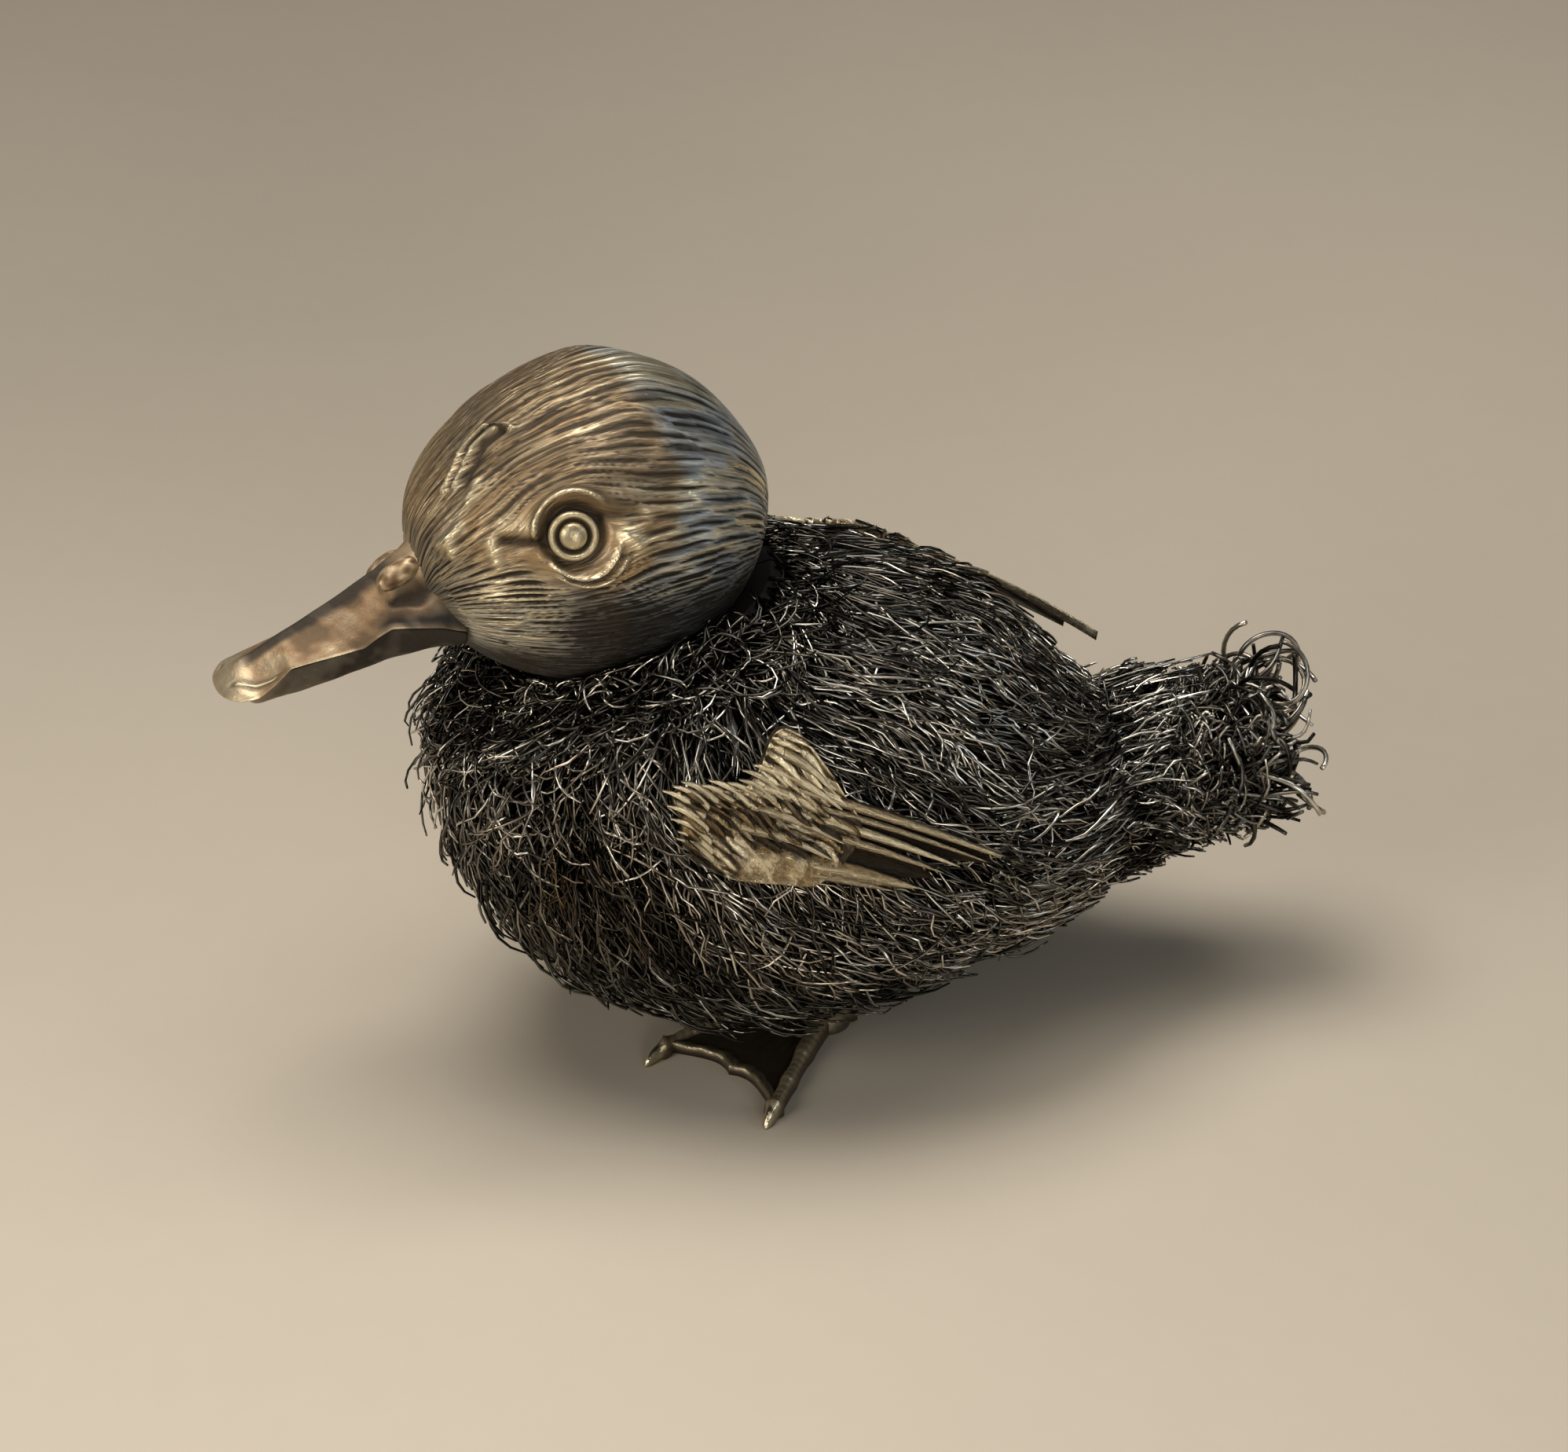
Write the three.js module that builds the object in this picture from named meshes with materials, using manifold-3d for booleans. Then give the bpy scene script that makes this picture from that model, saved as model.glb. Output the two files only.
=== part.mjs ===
// Silver duckling figurine: a hollow cast head, bill, wings and feet on a body shell in two halves,
// which carries rows of soldered wire fur. Millimetres, +Z up. The duckling faces -Y, its left is +X.
import * as THREE from "three";
import { mergeVertices } from "three/addons/utils/BufferGeometryUtils.js";
import Module from "manifold-3d";

// Fits between soldered, riveted and pegged neighbours.
const FIT_GAP = 0.3;

// Body shell, measured without its wire coat.
const BODY_LENGTH = 57;
const BODY_HEIGHT = 37.6;
const BODY_WIDTH = 36;
const BELLY_HEIGHT = 5.6;
const SHELL_WALL = 0.9;
const SEAM_GAP = 0.3;

// Wire fur on the body: thatched rows, each one a ring of wires drawn into uneven locks.
const FUR_ROWS = 11;
const FUR_DEPTH = 3.8;
const RUFF_DEPTH = 4.6;
const FUR_ROOT_THICKNESS = 0.9;
const FUR_TIP_THICKNESS = 0.5;
// The first row starts this share along the body, and each row laps over so many row pitches.
const RUFF_ROOT_SHARE = 0.06;
const ROW_OVERLAP = 1.6;
const ROW_END_SHARE = 0.6;
// Locks stand this far apart, and end at these shares of their row in turn.
const LOCK_PITCH = 4;
const LOCK_TIP_SHARES = [1, 0.86, 0.95, 0.82];
// The partings between them stop this share of the row short of the next row's roots.
const PARTING_STOP_SHARE = 0.12;
// Wires bend down to the body at this share of their length.
const WIRE_BEND_SHARE = 0.7;

// Head, and where its centre lies from the middle of the neck ring.
const HEAD_LENGTH = 30.2;
const HEAD_WIDTH = 26;
const HEAD_HEIGHT = 27.6;
const HEAD_WALL = 1.6;
const HEAD_FORWARD = 5;
const HEAD_RISE = 9.4;
const HEAD_SIDE = 1;
const HEAD_TURN_DEG = 14;
// The round head is pressed flatter at its forehead and its nape.
const FOREHEAD_DROP = 1.8;
const NAPE_DROP = 0.6;
// Each slope faces so many degrees up from straight ahead, and a place has to face that way so squarely
// for the slope to start there and to be full.
const HEAD_SLOPES = [
  { drop: FOREHEAD_DROP, degrees: 58, facing: [0.6, 0.97] },
  { drop: NAPE_DROP, degrees: 130, facing: [0.7, 0.97] },
];

// Neck sleeve between the head and the shell.
const SLEEVE_RADIUS = 5.5;
const SLEEVE_WALL = 0.8;
const SLEEVE_INTO_HEAD = 3.5;
const SLEEVE_INTO_BODY = 3;

// Bill: upper and lower half meet at the mouth line.
const BILL_LENGTH = 19.4;
const BILL_SEAT = 2.8;
const BILL_BASE_WIDTH = 12;
const BILL_WIDTH = 8.8;
const BILL_BASE_HEIGHT = 7;
const BILL_HEIGHT = 3;
const BILL_LOWER_DEPTH = 2.1;
const BILL_BELOW_CENTRE = 6.2;
const BILL_DROP = 3.4;
const LOWER_BILL_SHARE = 0.94;
const BILL_FACETS = 8;
const BILL_DROOP_POWER = 1.2;
const NOSTRIL_RADIUS = 1.3;
const NOSTRIL_STEP = 0.2;
const NOSTRIL_APART = 4.93;
const NOSTRIL_RISE = 4.37;

// Eyes: place on the head, stud, ring and the recess that holds them.
const EYE_FORWARD = 5.2;
const EYE_RISE = 4.3;
const EYE_RADIUS = 2;
const PUPIL_RADIUS = 1.05;
const EYE_RECESS_RADIUS = 2.9;
const EYE_RECESS_DEPTH = 0.7;
const EYE_STEM_RADIUS = 0.9;
const LID_THICKNESS = 0.9;
const UPPER_LID_DEG = [20, 165];
const LOWER_LID_DEG = [200, 340];

// Tail: a core plugged into the rump, with rows of thicker wires and a tuft.
const TAIL_LENGTH = 17;
const TAIL_RADIUS = 7.4;
const TUFT_RADIUS = 8.4;
const TAIL_CORE_RADIUS = 3.6;
const TAIL_CORE_LENGTH = 12.5;
const TAIL_CORE_TAPER = 0.85;
const TAIL_CORE_BORE = 1.9;
const TAIL_SPIGOT_RADIUS = 2.8;
const TAIL_SPIGOT_LENGTH = 3;
const TAIL_ROWS = 3;
const TAIL_OVERLAP = 2;
const TAIL_WIRE_THICKNESS = 1.1;
// Shares of the tuft's length: its swell, its short tips and the floor of its dished end.
const TUFT_SWELL_SHARE = 0.5;
const TUFT_SWELL_LIFT = 0.6;
const TUFT_SHORT_SHARE = 0.75;
const TUFT_DISH_SHARE = 0.7;

// Wings: a covert lobe and blade feathers, with a post that is riveted inside the shell.
const WING_LENGTH = 30.8;
const WING_DEPTH = 12.6;
const WING_THICKNESS = 1.1;
const WING_BLADES = 6;
const BLADES_WIDTH = 7.056;
const BLADE_ROOT_SHARE = 1.15;
const BLADE_TAPER_SHARE = 0.8;
const WING_CROWN_SHARE = 1.4;
const WING_POST_RADIUS = 1.1;
const WASHER_RADIUS = 2.6;
const WASHER_THICKNESS = 1.2;

// Feet: three toes and a web on a flat sole, a hind toe and a shank held by a collar in the shell.
const INNER_TOE_LENGTH = 9.6;
const MIDDLE_TOE_LENGTH = 17;
const OUTER_TOE_LENGTH = 16.6;
const TOE_WIDTH = 2.2;
const TOE_HEIGHT = 1.5;
const WEB_THICKNESS = 0.9;
const WEB_REACH_SHARE = 0.92;
const WEB_SCALLOP_SHARE = 0.6;
const HIND_TOE_LENGTH = 4.6;
const SHANK_RADIUS = 1.5;
const ANKLE_FLARE = 0.22;
const SHANK_INTO_BODY = 3;
const COLLAR_RADIUS = 3.1;
const LEG_SPREAD = 11;
const LEG_SETBACK = 30.4;
const STRIDE = 8.3;

// Shape of the body in shares of its length and height: crest and keel from the neck to the tail.
const CREST = [
  [0.465, 1],
  [0.553, 0.955],
  [0.667, 0.893],
  [0.772, 0.806],
  [0.86, 0.677],
  [0.93, 0.565],
  [0.982, 0.52],
];
const KEEL = [
  [0.105, 0.839],
  [0, 0.637],
  [0.05, 0.323],
  [0.211, 0.081],
  [0.491, 0],
  [0.772, 0.097],
  [1.016, 0.222],
];
// Shares of the greatest half width, ring by ring.
const FLANK = [0.528, 0.778, 0.944, 1, 0.944, 0.722, 0.389];
// The breast lies this share of the length ahead of the frame's middle.
const BREAST_SHARE = 0.4386;

// How the front and back ends of the chased strokes sink below the middle of the head.
const HEAD_POLE_SINK = 0.42;

// Covert lobe of a wing: shares of its length and depth, from its post.
const LOBE = [
  [-0.244, 0],
  [-0.075, 0.147],
  [-0.036, 0.5],
  [0.023, 0.536],
  [0.091, 0.429],
  [0.185, 0.226],
  [0.26, 0],
  [0.195, -0.365],
  [0.084, -0.437],
  [-0.065, -0.468],
  [-0.182, -0.341],
  [-0.208, -0.198],
];
// Tips of the first and the last blade, in the same shares.
const BLADE_TOP = { root: [0.13, 0.23], tip: [0.756, -0.024] };
const BLADE_LOW = { root: [0.11, -0.33], tip: [0.38, -0.333] };
// Seat of each wing on the wire coat (share along the body, degrees round it) and its three turns.
const WING_SEATS = {
  left: { along: 0.303, round: 9.8, dip: 19.6, lean: 16.6, toeIn: 3.2 },
  right: { along: 0.397, round: 37.7, dip: 15, lean: 45.6, toeIn: 27.7 },
};
// Bending radii of a wing plate, along it and across it.
const WING_BEND_ALONG = 75;
const WING_BEND_ACROSS = 30;

// The inner, middle and outer toe, with their directions in degrees outward from straight ahead.
const TOES = [
  { degrees: -14, length: INNER_TOE_LENGTH },
  { degrees: 15, length: MIDDLE_TOE_LENGTH },
  { degrees: 63, length: OUTER_TOE_LENGTH },
];
const HIND_TOE = { degrees: 196, length: HIND_TOE_LENGTH };
// Shares of a toe's length, width and height, from the heel to the tip of the claw.
const TOE_SHAPE = [
  [0, 1, 1.15],
  [0.35, 0.8, 0.95],
  [0.7, 0.75, 0.9],
  [0.88, 0.7, 0.85],
  [1, 0.16, 0.35],
];

// Facets of the turned, lofted and swept pieces.
const RING_SIDES = 24;
const TURNED_SIDES = 14;
const BODY_STEPS = 10;
const HEAD_STEPS = 12;
const LID_SIDES = 5;
const LID_STEPS = 6;
const HEAD_POLE_RAD = 0.1;

const wasm = await Module();
wasm.setup();

const vec = (x, y, z) => new THREE.Vector3(x, y, z);
const rad = THREE.MathUtils.degToRad;
const lerp = THREE.MathUtils.lerp;

// A closed solid from points and triangles, turned the right way out.
function solidOf(points, triangles) {
  const vertProperties = new Float32Array(points.flatMap((p) => [p.x, p.y, p.z]));
  const make = (triVerts) => new wasm.Manifold(new wasm.Mesh({ numProp: 3, vertProperties, triVerts }));
  const solid = make(new Uint32Array(triangles));
  return solid.volume() < 0 ? make(new Uint32Array(triangles.toReversed())) : solid;
}

// A closed solid from a three.js geometry.
function solidOfGeometry(geometry) {
  const bare = geometry.clone();
  bare.deleteAttribute("normal");
  bare.deleteAttribute("uv");
  const merged = mergeVertices(bare, 1e-4);
  const place = merged.getAttribute("position");
  const points = Array.from({ length: place.count }, (_, i) => vec().fromBufferAttribute(place, i));
  return solidOf(points, Array.from(merged.index.array));
}

// Polygons with as many points each, joined side by side: a closed ring of them, or capped at both ends.
// The four-sided faces between them are split along their shorter diagonal.
function sweep(sections, closed = false) {
  const sides = sections[0].length;
  const points = sections.flat();
  const triangles = [];
  const joins = closed ? sections.length : sections.length - 1;
  for (let i = 0; i < joins; i++) {
    const here = i * sides;
    const next = ((i + 1) % sections.length) * sides;
    for (let j = 0; j < sides; j++) {
      const k = (j + 1) % sides;
      const [a, b, c, d] = [here + j, here + k, next + k, next + j];
      const split = points[a].distanceTo(points[c]) <= points[b].distanceTo(points[d]);
      triangles.push(...(split ? [a, b, c, a, c, d] : [a, b, d, b, c, d]));
    }
  }
  if (!closed) {
    const last = (sections.length - 1) * sides;
    points.push(middle(sections[0]), middle(sections.at(-1)));
    for (let j = 0; j < sides; j++) {
      const k = (j + 1) % sides;
      triangles.push(points.length - 2, k, j, points.length - 1, last + j, last + k);
    }
  }
  return solidOf(points, triangles);
}

function middle(points) {
  return points.reduce((sum, p) => sum.add(p), vec(0, 0, 0)).divideScalar(points.length);
}

// A piece turned about the line through centre along axis: profile points are [radius, height].
function turned(profile, centre, axis) {
  const outline = profile.map(([radius, height]) => new THREE.Vector2(radius, height));
  const geometry = new THREE.LatheGeometry(outline, TURNED_SIDES);
  return solidOfGeometry(geometry.applyMatrix4(standing(centre, axis)));
}

function standing(centre, axis) {
  const turn = new THREE.Quaternion().setFromUnitVectors(vec(0, 1, 0), axis);
  return new THREE.Matrix4().compose(centre, turn, vec(1, 1, 1));
}

function rod(radius, from, to, centre, axis) {
  return turned([[0, from], [radius, from], [radius, to], [0, to]], centre, axis);
}

function tube(radius, bore, from, to, centre, axis) {
  return turned([[bore, from], [radius, from], [radius, to], [bore, to], [bore, from]], centre, axis);
}

// All space on the side of a plane that its normal points to.
function halfSpace(point, normal) {
  const reach = 4 * (BODY_LENGTH + HEAD_LENGTH + TAIL_LENGTH);
  const block = new THREE.BoxGeometry(reach, reach, reach).translate(0, reach / 2, 0);
  return solidOfGeometry(block.applyMatrix4(standing(point, normal)));
}

function largest(solid) {
  return solid.decompose().reduce((a, b) => (a.volume() > b.volume() ? a : b));
}

// Body: each ring is an ellipse between the crest and the keel, and lift is the height over the shell.
function bodyCurve(shares) {
  const points = shares.map(([along, up]) =>
    vec(0, (along - BREAST_SHARE) * BODY_LENGTH, BELLY_HEIGHT + up * BODY_HEIGHT),
  );
  return new THREE.CatmullRomCurve3(points, false, "catmullrom");
}
const crest = bodyCurve(CREST);
const keel = bodyCurve(KEEL);
const flank = new THREE.CatmullRomCurve3(
  FLANK.map((share) => vec((share * BODY_WIDTH) / 2, 0, 0)),
  false,
  "catmullrom",
);

function bodyRing(along) {
  const top = crest.getPoint(along);
  const bottom = keel.getPoint(along);
  const up = top.clone().sub(bottom);
  return {
    centre: top.clone().add(bottom).divideScalar(2),
    halfHeight: up.length() / 2,
    halfWidth: flank.getPoint(along).x,
    up: up.normalize(),
  };
}

function bodyPoint(along, angle, lift) {
  const ring = bodyRing(along);
  const across = vec((ring.halfWidth + lift) * Math.cos(angle), 0, 0);
  return ring.centre.addScaledVector(ring.up, (ring.halfHeight + lift) * Math.sin(angle)).add(across);
}

function ringOf(place, along, lift) {
  return Array.from({ length: RING_SIDES }, (_, i) => place(along, (2 * Math.PI * i) / RING_SIDES, lift));
}

function bodySolid(from, to, lift) {
  const stations = Array.from({ length: BODY_STEPS + 1 }, (_, i) => lerp(from, to, i / BODY_STEPS));
  return sweep(stations.map((along) => ringOf(bodyPoint, along, lift)));
}

const capShare = (2 * SHELL_WALL) / BODY_LENGTH;
const neck = bodyRing(0);
const neckAxis = vec(1, 0, 0).cross(neck.up);
const rump = bodyRing(1);
const tailAxis = rump.up.clone().cross(vec(1, 0, 0));
// The space inside the shell that its inner pieces keep to.
const cavity = bodySolid(capShare, 1 - capShare, -SHELL_WALL - FIT_GAP);

// Wings: a frame of outward, tipward and upward directions, seated on the wire coat.
function wingFrame(side) {
  const seat = WING_SEATS[side];
  const mirror = side === "left" ? 1 : -1;
  const turn = new THREE.Matrix4()
    .makeRotationZ(rad(seat.toeIn))
    .multiply(new THREE.Matrix4().makeRotationY(-rad(seat.lean)))
    .multiply(new THREE.Matrix4().makeRotationX(-rad(seat.dip)));
  const flip = (v) => v.setX(v.x * mirror);
  const direction = (x, y, z) => flip(vec(x, y, z).applyMatrix4(turn));
  const lift = FUR_DEPTH + FIT_GAP + WING_THICKNESS / 2;
  return {
    origin: flip(bodyPoint(seat.along, rad(seat.round), lift)),
    out: direction(1, 0, 0),
    back: direction(0, 1, 0),
    up: direction(0, 0, 1),
  };
}

// A point of a wing: along and across its plate, which bends towards the body, and out from it.
function wingPoint(frame, along, across, out) {
  const sag = along ** 2 / (2 * WING_BEND_ALONG) + across ** 2 / (2 * WING_BEND_ACROSS);
  return frame.origin
    .clone()
    .addScaledVector(frame.back, along)
    .addScaledVector(frame.up, across)
    .addScaledVector(frame.out, out - sag);
}

// The covert lobe, crowned in its middle, as rings that shrink to its post, larger all round by the margin.
function wingLobe(frame, margin) {
  const half = WING_THICKNESS / 2 + margin;
  const grow = 1 + (2 * margin) / WING_DEPTH;
  const ring = (share, out) => {
    const along = share * grow * WING_LENGTH;
    const across = share * grow * WING_DEPTH;
    return LOBE.map(([s, h]) => wingPoint(frame, s * along, h * across, out));
  };
  return sweep([ring(0.5, half * WING_CROWN_SHARE), ring(1, half), ring(1, -half), ring(0.5, -half)]);
}

// One blade feather: a flat bar with a raised shaft, tapered to its tip.
function wingBlade(frame, index, margin) {
  const share = index / (WING_BLADES - 1);
  const mix = (key, axis) => lerp(BLADE_TOP[key][axis], BLADE_LOW[key][axis], share);
  const half = WING_THICKNESS / 2 + margin;
  const rootWidth = BLADES_WIDTH / (2 * WING_BLADES);
  const sections = [0, 0.3, 0.6, 0.85, 1].map((step) => {
    const s = lerp(mix("root", 0), mix("tip", 0), step) * WING_LENGTH;
    const h = lerp(mix("root", 1), mix("tip", 1), step) * WING_DEPTH;
    const width = rootWidth * (BLADE_ROOT_SHARE - BLADE_TAPER_SHARE * step ** 2) + margin;
    const end = step === 1 ? margin : 0;
    const at = (across, out) => wingPoint(frame, s + end, h + across, out);
    return [at(-width, half * 0.4), at(0, half), at(width, half * 0.4), at(width, -half), at(-width, -half)];
  });
  return sweep(sections);
}

function wingPlate(frame, margin = 0) {
  const blades = Array.from({ length: WING_BLADES }, (_, i) => wingBlade(frame, i, margin));
  return blades.reduce((plate, blade) => plate.add(blade), wingLobe(frame, margin));
}

// Depth from the middle of a wing plate to the far end of its rivet.
const rivetLength = WASHER_THICKNESS + WING_POST_RADIUS;
const postReach = FUR_DEPTH + WING_THICKNESS + SHELL_WALL + 2 * FIT_GAP + rivetLength;

function wingPost(frame, margin = 0) {
  return rod(WING_POST_RADIUS + margin, 0, postReach + margin, frame.origin, frame.out.clone().negate());
}

function wing(side) {
  const frame = wingFrame(side);
  return wingPlate(frame).add(wingPost(frame));
}

function wingWasher(side) {
  const frame = wingFrame(side);
  const inward = frame.out.clone().negate();
  const seat = FUR_DEPTH + WING_THICKNESS / 2 + SHELL_WALL + 2 * FIT_GAP;
  const ring = tube(
    WASHER_RADIUS,
    WING_POST_RADIUS + FIT_GAP,
    seat - WASHER_RADIUS,
    seat + WASHER_THICKNESS,
    frame.origin,
    inward,
  );
  return largest(ring.intersect(cavity));
}

// Feet: the heel of each leg, with the right foot one stride ahead of the left.
function heel(side) {
  const mirror = side === "left" ? 1 : -1;
  const y = LEG_SETBACK - BREAST_SHARE * BODY_LENGTH;
  return vec((mirror * LEG_SPREAD) / 2, side === "left" ? y : y - STRIDE, 0);
}

function toeDirection(side, degrees) {
  const mirror = side === "left" ? 1 : -1;
  return vec(mirror * Math.sin(rad(degrees)), -Math.cos(rad(degrees)), 0);
}

// A toe with a flat sole, its claw drawn to a point at the end.
function toe(side, { degrees, length }) {
  const start = heel(side);
  const ahead = toeDirection(side, degrees);
  const beside = vec(0, 0, 1).cross(ahead);
  const sections = TOE_SHAPE.map(([step, wide, high]) => {
    const w = (wide * TOE_WIDTH) / 2;
    const h = high * TOE_HEIGHT;
    const outline = [[-w, 0], [-0.75 * w, 0.75 * h], [0, h], [0.75 * w, 0.75 * h], [w, 0]];
    const centre = start.clone().addScaledVector(ahead, step * length);
    return outline.map(([x, z]) => centre.clone().addScaledVector(beside, x).setZ(z));
  });
  return sweep(sections);
}

// The web between the toes, scalloped at its edge.
function web(side) {
  const start = heel(side);
  const reach = (degrees, distance) => start.clone().addScaledVector(toeDirection(side, degrees), distance);
  const outline = new THREE.Shape();
  outline.moveTo(start.x, start.y);
  TOES.forEach(({ degrees, length }, i) => {
    const tip = reach(degrees, WEB_REACH_SHARE * length);
    if (i === 0) {
      outline.lineTo(tip.x, tip.y);
    } else {
      const before = TOES[i - 1];
      const hollow = (WEB_SCALLOP_SHARE * (before.length + length)) / 2;
      const scallop = reach((before.degrees + degrees) / 2, hollow);
      outline.quadraticCurveTo(scallop.x, scallop.y, tip.x, tip.y);
    }
  });
  outline.closePath();
  const flat = { depth: WEB_THICKNESS, bevelEnabled: false, curveSegments: 6 };
  return solidOfGeometry(new THREE.ExtrudeGeometry(outline, flat));
}

// Height of the shell's underside over a point of the ground.
function bellyOver(point) {
  let low = capShare;
  let high = 1 - capShare;
  const under = (along) => {
    const ring = bodyRing(along);
    return bodyPoint(along, -Math.acos(THREE.MathUtils.clamp(point.x / ring.halfWidth, -1, 1)), 0);
  };
  for (let i = 0; i < 40; i++) {
    const trial = (low + high) / 2;
    if (under(trial).y < point.y) {
      low = trial;
    } else {
      high = trial;
    }
  }
  return under(low).z;
}

function shank(side, margin = 0) {
  const start = heel(side);
  return rod(SHANK_RADIUS + margin, 0, bellyOver(start) + SHANK_INTO_BODY + margin, start, vec(0, 0, 1));
}

function foot(side) {
  const start = heel(side);
  const ankleTop = WEB_THICKNESS + TOE_HEIGHT;
  const profile = [
    [0, 0],
    [TOE_WIDTH, 0],
    [SHANK_RADIUS + ANKLE_FLARE, TOE_HEIGHT],
    [SHANK_RADIUS, ankleTop],
    [0, ankleTop],
  ];
  const ankle = turned(profile, start, vec(0, 0, 1));
  const toes = [...TOES, HIND_TOE].map((one) => toe(side, one));
  return [...toes, ankle, shank(side)].reduce((all, piece) => all.add(piece), web(side));
}

function legCollar(side) {
  const start = heel(side);
  const seat = bellyOver(start) + SHELL_WALL;
  const ring = tube(
    COLLAR_RADIUS,
    SHANK_RADIUS + FIT_GAP,
    seat - COLLAR_RADIUS,
    seat + SHANK_INTO_BODY - SHELL_WALL - FIT_GAP,
    start,
    vec(0, 0, 1),
  );
  return largest(ring.intersect(cavity));
}

// The body shell's half on one side, with holes for the neck sleeve, the tail, the legs and the wings.
function shellHalf(side) {
  const mirror = side === "left" ? 1 : -1;
  const inside = bodySolid(capShare, 1 - capShare, -SHELL_WALL);
  const neckHole = rod(SLEEVE_RADIUS + FIT_GAP, -SLEEVE_INTO_BODY, SLEEVE_INTO_HEAD, neck.centre, neckAxis);
  const tailHole = rod(
    TAIL_SPIGOT_RADIUS + FIT_GAP,
    -TAIL_SPIGOT_LENGTH - FIT_GAP,
    TAIL_SPIGOT_LENGTH,
    rump.centre,
    tailAxis,
  );
  const holes = [neckHole, tailHole, shank(side, FIT_GAP), wingPost(wingFrame(side), FIT_GAP)];
  const hollow = holes.reduce((solid, hole) => solid.subtract(hole), bodySolid(0, 1, 0).subtract(inside));
  return largest(hollow.intersect(halfSpace(vec((mirror * SEAM_GAP) / 2, 0, 0), vec(mirror, 0, 0))));
}

function neckSleeve() {
  return tube(
    SLEEVE_RADIUS,
    SLEEVE_RADIUS - SLEEVE_WALL,
    -SLEEVE_INTO_BODY,
    SLEEVE_INTO_HEAD,
    neck.centre,
    neckAxis,
  );
}

// A thatched ring of wires drawn into locks: its sections lie along the wires, in turn on a lock and in a
// parting. A lock rises to the coat's full depth. A parting stays low and ends before the next row's roots.
function fringe(place, { root, span, overlap, thickness, depth, turn }) {
  const rim = ringOf(place, root + span / 2, depth);
  const girth = rim.reduce((sum, point, i) => sum + point.distanceTo(rim.at(i - 1)), 0);
  const locks = Math.round(girth / LOCK_PITCH);
  const rootTop = FIT_GAP + thickness;
  const lockOf = (i) => ({ tip: LOCK_TIP_SHARES[i % LOCK_TIP_SHARES.length], full: 1, top: depth });
  const stop = 1 / overlap - PARTING_STOP_SHARE;
  const parting = { tip: stop, full: stop, top: rootTop + FUR_TIP_THICKNESS };
  const sections = Array.from({ length: 2 * locks }, (_, i) => {
    const { tip, full, top } = i % 2 ? parting : lockOf(i / 2);
    const angle = (Math.PI * (i + turn)) / locks;
    const at = (share, from, to) => place(root + span * share, angle, lerp(from, to, share / full));
    const over = [0, WIRE_BEND_SHARE * tip, tip].map((share) => at(share, rootTop, top));
    const under = [tip, WIRE_BEND_SHARE * tip, 0].map((share) => at(share, FIT_GAP, top - FUR_TIP_THICKNESS));
    return [...over, ...under];
  });
  return sweep(sections, true);
}

// Rows of wire fur from the neck to the rump, cleared where the legs and the wings pass through them.
const cleared = ["left", "right"].flatMap((side) => {
  const frame = wingFrame(side);
  return [shank(side, FIT_GAP), wingPost(frame, FIT_GAP), wingPlate(frame, FIT_GAP)];
});
const rowPitch = (1 - RUFF_ROOT_SHARE) / (FUR_ROWS + ROW_END_SHARE);
const furWires = { overlap: ROW_OVERLAP, thickness: FUR_ROOT_THICKNESS, depth: FUR_DEPTH };

// The ruff's wires stand up round the neck, against the run of the other rows.
function neckRuff() {
  const root = RUFF_ROOT_SHARE - FUR_ROOT_THICKNESS / BODY_LENGTH;
  return fringe(bodyPoint, { ...furWires, depth: RUFF_DEPTH, root, span: -root, turn: 0 });
}

function furRow(index) {
  const root = RUFF_ROOT_SHARE + index * rowPitch;
  const span = Math.min(ROW_OVERLAP * rowPitch, 1 - root);
  const row = fringe(bodyPoint, { ...furWires, root, span, turn: index % 2 });
  return largest(cleared.reduce((solid, cut) => solid.subtract(cut), row));
}

// Tail: the core and its wire rows lie on one axis that starts at the rump.
function tailCore() {
  const end = TAIL_CORE_LENGTH;
  const taper = TAIL_CORE_TAPER * TAIL_CORE_RADIUS;
  const profile = [
    [0, end - SHELL_WALL],
    [TAIL_CORE_BORE, end - SHELL_WALL],
    [TAIL_CORE_BORE, -TAIL_SPIGOT_LENGTH],
    [TAIL_SPIGOT_RADIUS, -TAIL_SPIGOT_LENGTH],
    [TAIL_SPIGOT_RADIUS, FIT_GAP],
    [TAIL_CORE_RADIUS, 2 * FIT_GAP],
    [taper, end],
    [0, end + FIT_GAP],
  ];
  return turned(profile, rump.centre, tailAxis);
}

function tailPoint(along, angle, lift) {
  const up = vec(1, 0, 0).cross(tailAxis);
  const distance = along * TAIL_LENGTH;
  const core = TAIL_CORE_RADIUS * lerp(1, TAIL_CORE_TAPER, Math.min(distance / TAIL_CORE_LENGTH, 1));
  return rump.centre
    .clone()
    .addScaledVector(tailAxis, distance)
    .addScaledVector(up, (core + lift) * Math.sin(angle))
    .add(vec((core + lift) * Math.cos(angle), 0, 0));
}

const tailStart = (3 * FIT_GAP) / TAIL_LENGTH;
const tailPitch = (TAIL_CORE_LENGTH / TAIL_LENGTH - tailStart) / (TAIL_ROWS + 1);

function tailRow(index) {
  return fringe(tailPoint, {
    root: tailStart + index * tailPitch,
    span: TAIL_OVERLAP * tailPitch,
    overlap: TAIL_OVERLAP,
    thickness: TAIL_WIRE_THICKNESS,
    depth: TAIL_RADIUS - TAIL_CORE_RADIUS,
    turn: index % 2,
  });
}

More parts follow.
